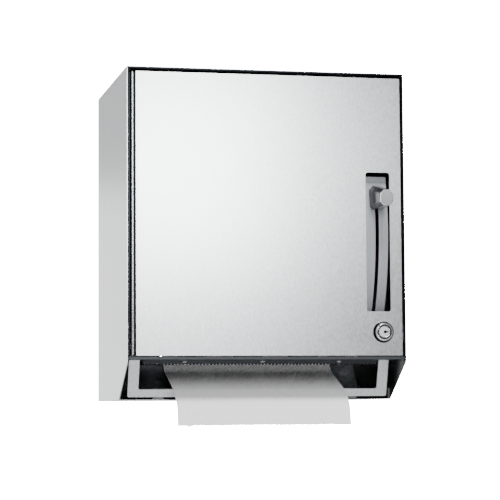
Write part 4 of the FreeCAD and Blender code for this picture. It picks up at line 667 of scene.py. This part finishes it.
def route(corners, radii, step):
    """Points along straight runs and arcs, from corners as (y, z) and a radius for each inner corner."""
    points = []
    here = Vector(corners[0])
    for index in range(1, len(corners) - 1):
        corner = Vector(corners[index])
        before = (corner - Vector(corners[index - 1])).normalized()
        after = (Vector(corners[index + 1]) - corner).normalized()
        turn = before.angle(after)
        reach = radii[index - 1] * math.tan(turn / 2)
        start = corner - before * reach
        points += stretch(here, start, step)
        side = 1 if before.x * after.y - before.y * after.x > 0 else -1
        inward = Vector((-before.y, before.x)) * side
        centre = start + inward * radii[index - 1]
        count = max(2, round(radii[index - 1] * turn / step))
        for part in range(count):
            bent = Matrix.Rotation(side * turn * part / count, 2)
            points.append(centre + bent @ (start - centre))
        here = corner + after * reach
    points += stretch(here, Vector(corners[-1]), step)
    points.append(Vector(corners[-1]))
    return points


def stretch(start, end, step):
    """Evenly spaced points from start up to, but not at, end."""
    count = max(1, round((end - start).length / step))
    return [start.lerp(end, index / count) for index in range(count)]


# Operators, one for each piece or group of like pieces

class DISPENSER_OT_cabinet(bpy.types.Operator):
    """Brushed cabinet: folded shell, top and bottom, with eased edges"""
    bl_idname = "dispenser.cabinet"
    bl_label = "Cabinet"

    def execute(self, context):
        radius = sizes().sheet_edge * MM
        for node, name in (("cabinet_shell", "cabinet_folded_shell"), ("top_panel", "cabinet_top"),
                           ("bottom_panel", "cabinet_floor")):
            eased(node, name, "folded_stainless_painted_shade", radius)
        dress("cold_rolled_steel", "case_rivets", "rail_screws")
        return {"FINISHED"}


class DISPENSER_OT_door(bpy.types.Operator):
    """Brushed door pan with its lever slot and lock hole"""
    bl_idname = "dispenser.door"
    bl_label = "Door"

    def execute(self, context):
        radius = sizes().sheet_edge * MM
        eased("door_panel", "door_pan", "belt_brushed_stainless", radius)
        dress("hinge_steel_painted_shade", "hinge_leaf_case", "hinge_leaf_door")
        dress("cold_rolled_steel", "hinge_rivets_door", "hinge_pin")
        return {"FINISHED"}


class DISPENSER_OT_outlet(bpy.types.Operator):
    """Outlet frame, rail, tear bar and chute under the door"""
    bl_idname = "dispenser.outlet"
    bl_label = "Outlet"

    def execute(self, context):
        radius = sizes().small_edge * MM
        eased("outlet_frame", "outlet_surround", "belt_brushed_stainless", radius)
        eased("lower_rail", "lower_rail_fold", "painted_shade_stainless", radius)
        dress("painted_shade_stainless", "tear_blade")
        dress("galvanised_sheet", "paper_chute")
        return {"FINISHED"}


# The guard's face, in metres: its radius about the lever's pivot, its left edge and its slot along X, the
# plain strips beside the slot and at the right edge, and how deep the ridges sit in it.
GUARD_RADIUS = 0.2145
GUARD_LEFT = 0.1166
GUARD_SLOT = (0.1264, 0.1306)
SLOT_STRIP = 0.0018
EDGE_STRIP = 0.0016
RIDGE_SUNK = 0.0002
# Where the ridges start and end, in degrees about the pivot, and the points along each.
RIDGE_ARC = (-11.5, 27.5)
RIDGE_POINTS = 40


class DISPENSER_OT_guard(bpy.types.Operator):
    """Ribbed lever guard, with fine ridges that follow its curve"""
    bl_idname = "dispenser.guard"
    bl_label = "Lever guard"

    def execute(self, context):
        radius = sizes().small_edge * MM * 0.6
        eased("lever_guard", "guard_shield", "ribbed_plastic", radius)
        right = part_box("lever_guard")[1].x
        low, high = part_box("lever_pivot_pin")
        pivot = (low + high) / 2
        first, last = RIDGE_ARC
        given = {"Radius": GUARD_RADIUS - RIDGE_SUNK, "Height": sizes().ridge_height * MM + RIDGE_SUNK,
                 "Pivot Y": pivot.y, "Pivot Z": pivot.z, "First Angle": math.radians(first),
                 "Last Angle": math.radians(last)}
        slot_left, slot_right = GUARD_SLOT
        spans = ((GUARD_LEFT, slot_left - SLOT_STRIP), (slot_right + SLOT_STRIP, right - EDGE_STRIP))
        for index, (start, end) in enumerate(spans):
            count = int((end - start) / (sizes().ridge_pitch * MM)) + 1
            given.update({"Ridges": count, "Pitch": (end - start) / max(1, count - 1), "Start": start})
            name = "guard_ridges_%d" % index
            new_piece(name, ridge_row(name, given), "ribbed_plastic", "root")
        return {"FINISHED"}


def ridge_row(name, given):
    """The mesh of one row of ridges, from the settings of its nodes."""
    holder = placed("ridge_scratch", bpy.data.meshes.new("ridge_scratch"))
    tree = ridge_tree()
    modifier = holder.modifiers.new("ridges", "NODES")
    modifier.node_group = tree
    for item in tree.interface.items_tree:
        if item.name in given:
            modifier[item.identifier] = given[item.name]
    return baked(holder, name)


def ridge_tree():
    """A row of thin ridges, each swept along an arc about the lever's pivot."""
    tree = bpy.data.node_groups.new("guard_ridge_row", "GeometryNodeTree")
    tree.interface.new_socket("Ridges", in_out="INPUT", socket_type="NodeSocketInt")
    for name in ("Pitch", "Start", "Radius", "Height", "Pivot Y", "Pivot Z", "First Angle", "Last Angle"):
        tree.interface.new_socket(name, in_out="INPUT", socket_type="NodeSocketFloat")
    tree.interface.new_socket("Geometry", in_out="OUTPUT", socket_type="NodeSocketGeometry")
    given = add(tree, "NodeGroupInput").outputs
    sweep = maths(tree, "SUBTRACT", given["Last Angle"], given["First Angle"])
    line = add(tree, "GeometryNodeCurvePrimitiveLine")
    fine = add(tree, "GeometryNodeResampleCurve", {"Curve": line.outputs["Curve"], "Count": RIDGE_POINTS})
    along = add(tree, "GeometryNodeSplineParameter").outputs["Factor"]
    angle = maths(tree, "MULTIPLY_ADD", along, sweep, given["First Angle"])
    out_y = maths(tree, "MULTIPLY", maths(tree, "COSINE", angle), given["Radius"])
    out_z = maths(tree, "MULTIPLY", maths(tree, "SINE", angle), given["Radius"])
    at_y = maths(tree, "SUBTRACT", given["Pivot Y"], out_y)
    at_z = maths(tree, "SUBTRACT", given["Pivot Z"], out_z)
    place = add(tree, "ShaderNodeCombineXYZ", {"X": given["Start"], "Y": at_y, "Z": at_z})
    bent = add(tree, "GeometryNodeSetPosition", {"Geometry": fine.outputs["Curve"],
                                                 "Position": place.outputs["Vector"]})
    profile = add(tree, "GeometryNodeCurvePrimitiveCircle", {"Resolution": 8, "Radius": given["Height"]})
    swept = add(tree, "GeometryNodeCurveToMesh", {"Curve": bent.outputs["Geometry"], "Fill Caps": True,
                                                  "Profile Curve": profile.outputs["Curve"]})
    offset = add(tree, "ShaderNodeCombineXYZ", {"X": given["Pitch"]})
    row = add(tree, "GeometryNodeMeshLine", {"Count": given["Ridges"], "Offset": offset.outputs["Vector"]})
    copies = add(tree, "GeometryNodeInstanceOnPoints", {"Points": row.outputs["Mesh"],
                                                        "Instance": swept.outputs["Mesh"]})
    real = add(tree, "GeometryNodeRealizeInstances", {"Geometry": copies.outputs["Instances"]})
    dressed = add(tree, "GeometryNodeSetMaterial", {"Geometry": real.outputs["Geometry"],
                                                    "Material": finish("ribbed_plastic")})
    add(tree, "NodeGroupOutput", {"Geometry": dressed.outputs["Geometry"]})
    return tree


# How dark the painted shade on the knob's left flank is, and how far to the left a face of it looks.
FLANK_PAINTED_SHADE = 0.9
FLANK_FACING = -0.6


class DISPENSER_OT_knob(bpy.types.Operator):
    """Tapered lever knob with moulded edges"""
    bl_idname = "dispenser.knob"
    bl_label = "Knob"

    def execute(self, context):
        radius = sizes().knob_edge * MM
        grip = eased("lever_knob", "knob_grip", "satin_knob", radius, turn=20)
        # The faces of the left flank that get the painted shade.
        painted_flank_shade = grip.data.attributes.new("painted_flank_shade", "FLOAT", "FACE")
        for face in grip.data.polygons:
            painted_flank_shade.data[face.index].value = FLANK_PAINTED_SHADE if face.normal.x < FLANK_FACING else 0.0
        dress("zinc_plate", "lever_plate")
        return {"FINISHED"}


class DISPENSER_OT_lock(bpy.types.Operator):
    """Chromed cam lock: conical bezel and keyed plug"""
    bl_idname = "dispenser.lock"
    bl_label = "Lock"

    def execute(self, context):
        radius = sizes().small_edge * MM
        eased("lock_body", "lock_bezel", "lock_chrome_painted_dark_ring", radius)
        eased("lock_plug", "lock_keyed_plug", "keyed_nickel", radius * 0.7)
        dress("zinc_plate", "lock_nut", "lock_cam", "cam_screw", "lock_strike")
        return {"FINISHED"}


# The towel's route in (y, z), in metres: from the roll round the drive roller, over the chute and out to the
# torn edge, with the radius of its bend at each inner corner.
TOWEL_ROUTE = ((-0.028553, 0.029593), (-0.109472, -0.133372), (-0.128564, -0.152464), (-0.187, -0.1737),
               (-0.212, -0.19), (-0.2173, -0.217))
TOWEL_BENDS = (0.0196, 0.022, 0.024, 0.022)
# The end that hangs free, and its waves across the width: height, frequency and start.
FREE_END = 0.055
TOWEL_WAVES = ((0.00035, 9.0, 0.6), (0.0002, 23.0, 0.0))
# The torn edge: the length it is worked into, how far it is drawn back, how deep the teeth and the ragged
# fibres between them are, and one tongue, as its place in the width, half its width and its length.
FRINGE = 0.009
DRAWN_BACK = 0.0015
TOOTH_DEPTH = 0.0026
RAGGED = 0.8
TONGUE = (0.065, 0.014, 0.0016)


class DISPENSER_OT_towel(bpy.types.Operator):
    """The towel that runs from the roll round the drive roller and hangs out of the outlet"""
    bl_idname = "dispenser.towel"
    bl_label = "Towel"

    def execute(self, context):
        low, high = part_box("paper_web")
        wide = high.x - low.x
        step = sizes().towel_cell * MM
        path = route(TOWEL_ROUTE, TOWEL_BENDS, step)
        lengths = [0.0]
        for before, after in zip(path, path[1:]):
            lengths.append(lengths[-1] + (after - before).length)
        scratch = placed("towel_scratch", towel_mesh(path, lengths, low.x, wide, round(wide / step)))
        thick = scratch.modifiers.new("thickness", "SOLIDIFY")
        thick.thickness = sizes().towel_sheet * MM
        thick.offset = 0.0
        finished = smoothed(baked(scratch, "towel_hanging"), 50)
        piece = new_piece("towel_hanging", finished, "embossed_towel", "root")
        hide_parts("paper_web")
        return {"FINISHED"}


def towel_mesh(path, lengths, left, wide, columns):
    """The towel as a grid of faces, with its flat width and length as its UV map."""
    made = bmesh.new()
    layer = made.loops.layers.uv.new("towel_mm")
    rows = towel_rows(made, path, lengths, left, wide, columns)
    for index in range(len(rows) - 1):
        for column in range(columns):
            around = ((index, column), (index, column + 1), (index + 1, column + 1), (index + 1, column))
            face = made.faces.new([rows[r][c] for r, c in around])
            for loop, (r, c) in zip(face.loops, around):
                loop[layer].uv = (wide * c / columns, lengths[r])
    return settled(made, "towel_hanging")


def towel_rows(made, path, lengths, left, wide, columns):
    """Rows of points across the towel, waved where it hangs free and torn at its end."""
    chance = random.Random(7)
    ragged = [chance.uniform(0.0, RAGGED) * MM for _ in range(columns + 1)]
    tooth = sizes().tear_tooth * MM
    total = lengths[-1]
    middle, half_width, long = TONGUE
    rows = []
    for index, point in enumerate(path):
        after = path[min(index + 1, len(path) - 1)]
        before = path[max(index - 1, 0)]
        along = (after - before).normalized()
        aside = Vector((-along.y, along.x))
        free = max(0.0, (lengths[index] - (total - FREE_END)) / FREE_END)
        fringe = max(0.0, 1 - (total - lengths[index]) / FRINGE)
        row = []
        for column in range(columns + 1):
            share = column / columns
            x = left + wide * share
            wave = sum(height * math.sin(share * often + start) for height, often, start in TOWEL_WAVES)
            place = point + aside * wave * free
            if fringe > 0:
                bite = abs((x / tooth) % 1.0 - 0.5) * TOOTH_DEPTH
                tongue = max(0.0, 1.0 - abs(share - middle) / half_width) * long
                place = place - along * (bite + DRAWN_BACK + ragged[column] - tongue) * fringe
            row.append(made.verts.new((x, place.x, place.y)))
        rows.append(row)
    return rows


# The wound roll, in metres: its clearance round the core, the plain band outside its rings, how deep the
# edges of three rings in turn lie, and the rounding of its ends, inward from the end and from the outside.
CORE_CLEARANCE = 0.0002
PLAIN_BAND = 0.0012
RING_DEPTHS = (0.0002, 0.0005, 0.0005)
END_ROUNDING = ((0.0002, 0.0008), (0.0009, 0.0001))
# The share of a ring's pitch that is paper, and the points round the roll.
RING_SHARE = 0.8
ROUND_POINTS = 72


class DISPENSER_OT_roll(bpy.types.Operator):
    """The wound roll with the edges of its layers, on its board core"""
    bl_idname = "dispenser.roll"
    bl_label = "Roll"

    def execute(self, context):
        low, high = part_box("paper_roll")
        centre = (low + high) / 2
        outer = (high.z - low.z) / 2
        core_low, core_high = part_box("roll_core")
        inner = (core_high.z - core_low.z) / 2 + CORE_CLEARANCE
        profile = ring_profile(inner, outer, sizes().roll_layers)
        left = [(low.x + along, radius) for along, radius in profile]
        right = [(high.x - along, radius) for along, radius in reversed(profile)]
        middle = [(low.x + (high.x - low.x) * share, outer) for share in (0.02, 0.25, 0.5, 0.75, 0.98)]
        mesh = smoothed(turned_mesh("towel_roll", left + middle + right, centre), 40)
        piece = new_piece("towel_roll", mesh, "roll_paper", "paper_roll")
        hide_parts("paper_roll")
        dress("core_board", "roll_core")
        return {"FINISHED"}


def ring_profile(inner, outer, layers):
    """One end of the roll from its core to its outside, as points inward from the end and a radius."""
    profile = []
    for index in range(layers):
        near = inner + (outer - PLAIN_BAND - inner) * index / layers
        far = inner + (outer - PLAIN_BAND - inner) * (index + RING_SHARE) / layers
        sunk = RING_DEPTHS[index % 3]
        profile += [(sunk, near), (0.0, (near + far) / 2), (sunk, far)]
    return profile + [(along, outer - inward) for along, inward in END_ROUNDING]


def turned_mesh(name, outline, centre):
    """A closed outline of (x, radius) turned about the axis along X through the centre."""
    made = bmesh.new()
    circles = []
    for step in range(ROUND_POINTS):
        angle = 2 * math.pi * step / ROUND_POINTS
        circle = []
        for along, radius in outline:
            place = (along, centre.y + radius * math.cos(angle), centre.z + radius * math.sin(angle))
            circle.append(made.verts.new(place))
        circles.append(circle)
    for here, following in zip(circles, circles[1:] + circles[:1]):
        for index in range(len(outline)):
            after = (index + 1) % len(outline)
            made.faces.new((here[index], here[after], following[after], following[index]))
    bmesh.ops.recalc_face_normals(made, faces=made.faces)
    return settled(made, name)


class DISPENSER_OT_works(bpy.types.Operator):
    """Finishes of the frame, rollers, gears, hubs and springs"""
    bl_idname = "dispenser.works"
    bl_label = "Works"

    def execute(self, context):
        dress("zinc_plate", "side_plate_left", "side_plate_right", "tie_rod_upper", "tie_rod_lower",
              "frame_screws", "drive_shaft", "pinch_shaft", "pinch_arm_left", "pinch_arm_right",
              "pinch_pivot_pins", "lever_pivot_pin", "pivot_ring", "plunger_clip", "hub_screw",
              "guard_screws")
        dress("spring_wire", "return_spring")
        dress("ground_rubber", "drive_roller_left", "drive_roller_middle", "drive_roller_right",
              "pinch_roller_left", "pinch_roller_middle", "pinch_roller_right", "lever_bumper_upper",
              "lever_bumper_lower")
        dress("black_plastic", "roll_hub_left", "roll_hub_right", "plunger_housing")
        dress("acetal", "pinion", "shaft_bushing_left", "shaft_bushing_right")
        return {"FINISHED"}


class DISPENSER_OT_springs(bpy.types.Operator):
    """Copies of the springs: the hub's coil and the pinch roller's leaves"""
    bl_idname = "dispenser.springs"
    bl_label = "Springs"

    def execute(self, context):
        coil = copied("plunger_spring", "hub_coil_spring", "spring_wire", "root")
        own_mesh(coil)
        for side in ("left", "right"):
            leaf = copied("pinch_spring_" + side, "pinch_leaf_" + side, "spring_wire", None)
            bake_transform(leaf)
        return {"FINISHED"}


# name, place, aim, width, height (m), power (W)
LIGHTS = (
    ("door_glow_softbox", (0.05, -1.24, 0.21), (-0.05, -0.24, 0.05), 0.34, 0.34, 8.2),
    ("knob_card", (0.41, -1.24, 0.23), (0.12, -0.24, 0.09), 0.12, 0.12, 0.2),
    ("low_front_panel", (-0.03, -1.24, -0.36), (-0.05, -0.2, -0.17), 0.4, 0.22, 2.8),
    ("high_front_softbox", (0.0, -1.5, 1.6), (0.0, -0.2, -0.1), 0.7, 0.4, 52.0),
    ("back_left_panel", (-0.45, 1.7, -0.3), (-0.16, -0.1, 0.0), 0.8, 1.2, 5.0),
)
FLOOR_LEVEL = -1.35
FLOOR_RADIUS = 8.0
# The surround's strength in front of the door, all round, and as the camera sees it.
DARK_SURROUND = 0.05
SURROUND_LIGHT = 1.0
SURROUND_SEEN = 40.0
# Where the dark part ends: the Y of a direction where it is full and where it is gone.
DARK_EDGE = (-0.85, -0.35)
# The camera: its sensor in mm, its focal length and the picture's width in pixels, its place in metres, and
# its turn to the right, upwards and about its own line, in radians.
SENSOR = 36.0
FOCAL_PIXELS = 1904.3
PICTURE_PIXELS = 500
CAMERA_PLACE = (-0.4747, -2.3156, -0.1979)
CAMERA_TURN = (0.215, 0.084, -0.007)


class DISPENSER_OT_stage(bpy.types.Operator):
    """Pale floor, soft studio lights and the camera at the photograph's angle"""
    bl_idname = "dispenser.stage"
    bl_label = "Stage"

    def execute(self, context):
        make_floor()
        make_sky(context.scene)
        for name, place, aim, wide, high, power in LIGHTS:
            softbox(name, place, aim, wide, high, power)
        make_camera(context.scene)
        return {"FINISHED"}


def make_floor():
    """A wide pale disc under the object."""
    made = bmesh.new()
    bmesh.ops.create_circle(made, cap_ends=True, segments=96, radius=FLOOR_RADIUS)
    mesh = settled(made, "studio_floor")
    mesh.transform(Matrix.Translation((0, 0, FLOOR_LEVEL)))
    floor = placed("studio_floor", mesh)
    material, tree, principled = new_material("painted_studio_floor", colours().floor, Roughness=0.8)
    patches = stretched_noise(tree, (3.0, 3.0, 3.0), 2.0)
    mottle(tree, principled, patches, colours().floor, 0.01)
    mesh.materials.append(material)


def make_sky(scene):
    """A pale surround, dark in front of the door. It looks brighter than the light it gives."""
    world = bpy.data.worlds.new("studio_surround")
    scene.world = world
    world.use_nodes = True
    tree = world.node_tree
    tree.nodes.clear()
    towards = add(tree, "ShaderNodeTexCoord").outputs["Generated"]
    backward = add(tree, "ShaderNodeSeparateXYZ", {"Vector": towards}).outputs["Y"]
    given = add(tree, "ShaderNodeMapRange", {"Value": backward, "From Min": DARK_EDGE[0],
                                             "From Max": DARK_EDGE[1], "To Min": DARK_SURROUND,
                                             "To Max": SURROUND_LIGHT},
                interpolation_type="SMOOTHSTEP").outputs["Result"]
    seen = add(tree, "ShaderNodeLightPath").outputs["Is Camera Ray"]
    strength = add(tree, "ShaderNodeMapRange", {"Value": seen, "To Min": given, "To Max": SURROUND_SEEN})
    background = add(tree, "ShaderNodeBackground", {"Color": linear("#FFFFFF"),
                                                    "Strength": strength.outputs["Result"]})
    add(tree, "ShaderNodeOutputWorld", {"Surface": background.outputs["Background"]})


def softbox(name, place, aim, wide, high, power):
    """A soft lamp at a place, turned to what it lights."""
    light = bpy.data.lights.new(name, "AREA")
    light.shape = "RECTANGLE"
    light.size = wide
    light.size_y = high
    light.energy = power
    lamp = placed(name, light)
    lamp.location = place
    lamp.rotation_euler = (Vector(aim) - Vector(place)).to_track_quat("-Z", "Y").to_euler()
    lamp.visible_camera = False


def make_camera(scene):
    """The photograph's viewpoint, turned towards the object instead of shifted."""
    data = bpy.data.cameras.new("photo_camera")
    data.sensor_width = SENSOR
    data.lens = SENSOR * FOCAL_PIXELS / PICTURE_PIXELS
    camera = placed("photo_camera", data)
    yaw, pitch, roll = CAMERA_TURN
    forward = Vector((math.sin(yaw) * math.cos(pitch), math.cos(yaw) * math.cos(pitch), math.sin(pitch)))
    level = Vector((math.cos(yaw), -math.sin(yaw), 0))
    up = level.cross(forward)
    right = level * math.cos(roll) + up * math.sin(roll)
    top = up * math.cos(roll) - level * math.sin(roll)
    turn = Matrix((right, top, -forward)).transposed()
    camera.matrix_world = Matrix.Translation(CAMERA_PLACE) @ turn.to_4x4()
    data.clip_start = 0.05
    data.clip_end = 60
    scene.camera = camera


# Sidebar

STEPS = ("cabinet", "door", "outlet", "guard", "knob", "lock", "towel", "roll", "works", "springs", "stage")


class DISPENSER_PT_panel(bpy.types.Panel):
    """Sizes, colours and the steps that dress the dispenser"""
    bl_label = "Towel dispenser"
    bl_idname = "DISPENSER_PT_panel"
    bl_space_type = "VIEW_3D"
    bl_region_type = "UI"
    bl_category = "Dispenser"

    def draw(self, context):
        for step in STEPS:
            self.layout.operator("dispenser." + step)
        for group in (context.scene.dispenser_sizes, context.scene.dispenser_colours):
            box = self.layout.box()
            for name in group.__annotations__:
                box.prop(group, name)


CLASSES = (DispenserSizes, DispenserColours, DISPENSER_OT_cabinet, DISPENSER_OT_door, DISPENSER_OT_outlet,
           DISPENSER_OT_guard, DISPENSER_OT_knob, DISPENSER_OT_lock, DISPENSER_OT_towel, DISPENSER_OT_roll,
           DISPENSER_OT_works, DISPENSER_OT_springs, DISPENSER_OT_stage, DISPENSER_PT_panel)


def register():
    for item in CLASSES:
        bpy.utils.register_class(item)
    bpy.types.Scene.dispenser_sizes = bpy.props.PointerProperty(type=DispenserSizes)
    bpy.types.Scene.dispenser_colours = bpy.props.PointerProperty(type=DispenserColours)


def unregister():
    del bpy.types.Scene.dispenser_colours
    del bpy.types.Scene.dispenser_sizes
    for item in reversed(CLASSES):
        bpy.utils.unregister_class(item)


def main():
    register()
    for step in STEPS:
        getattr(bpy.ops.dispenser, step)()


if __name__ == "__main__":
    main()
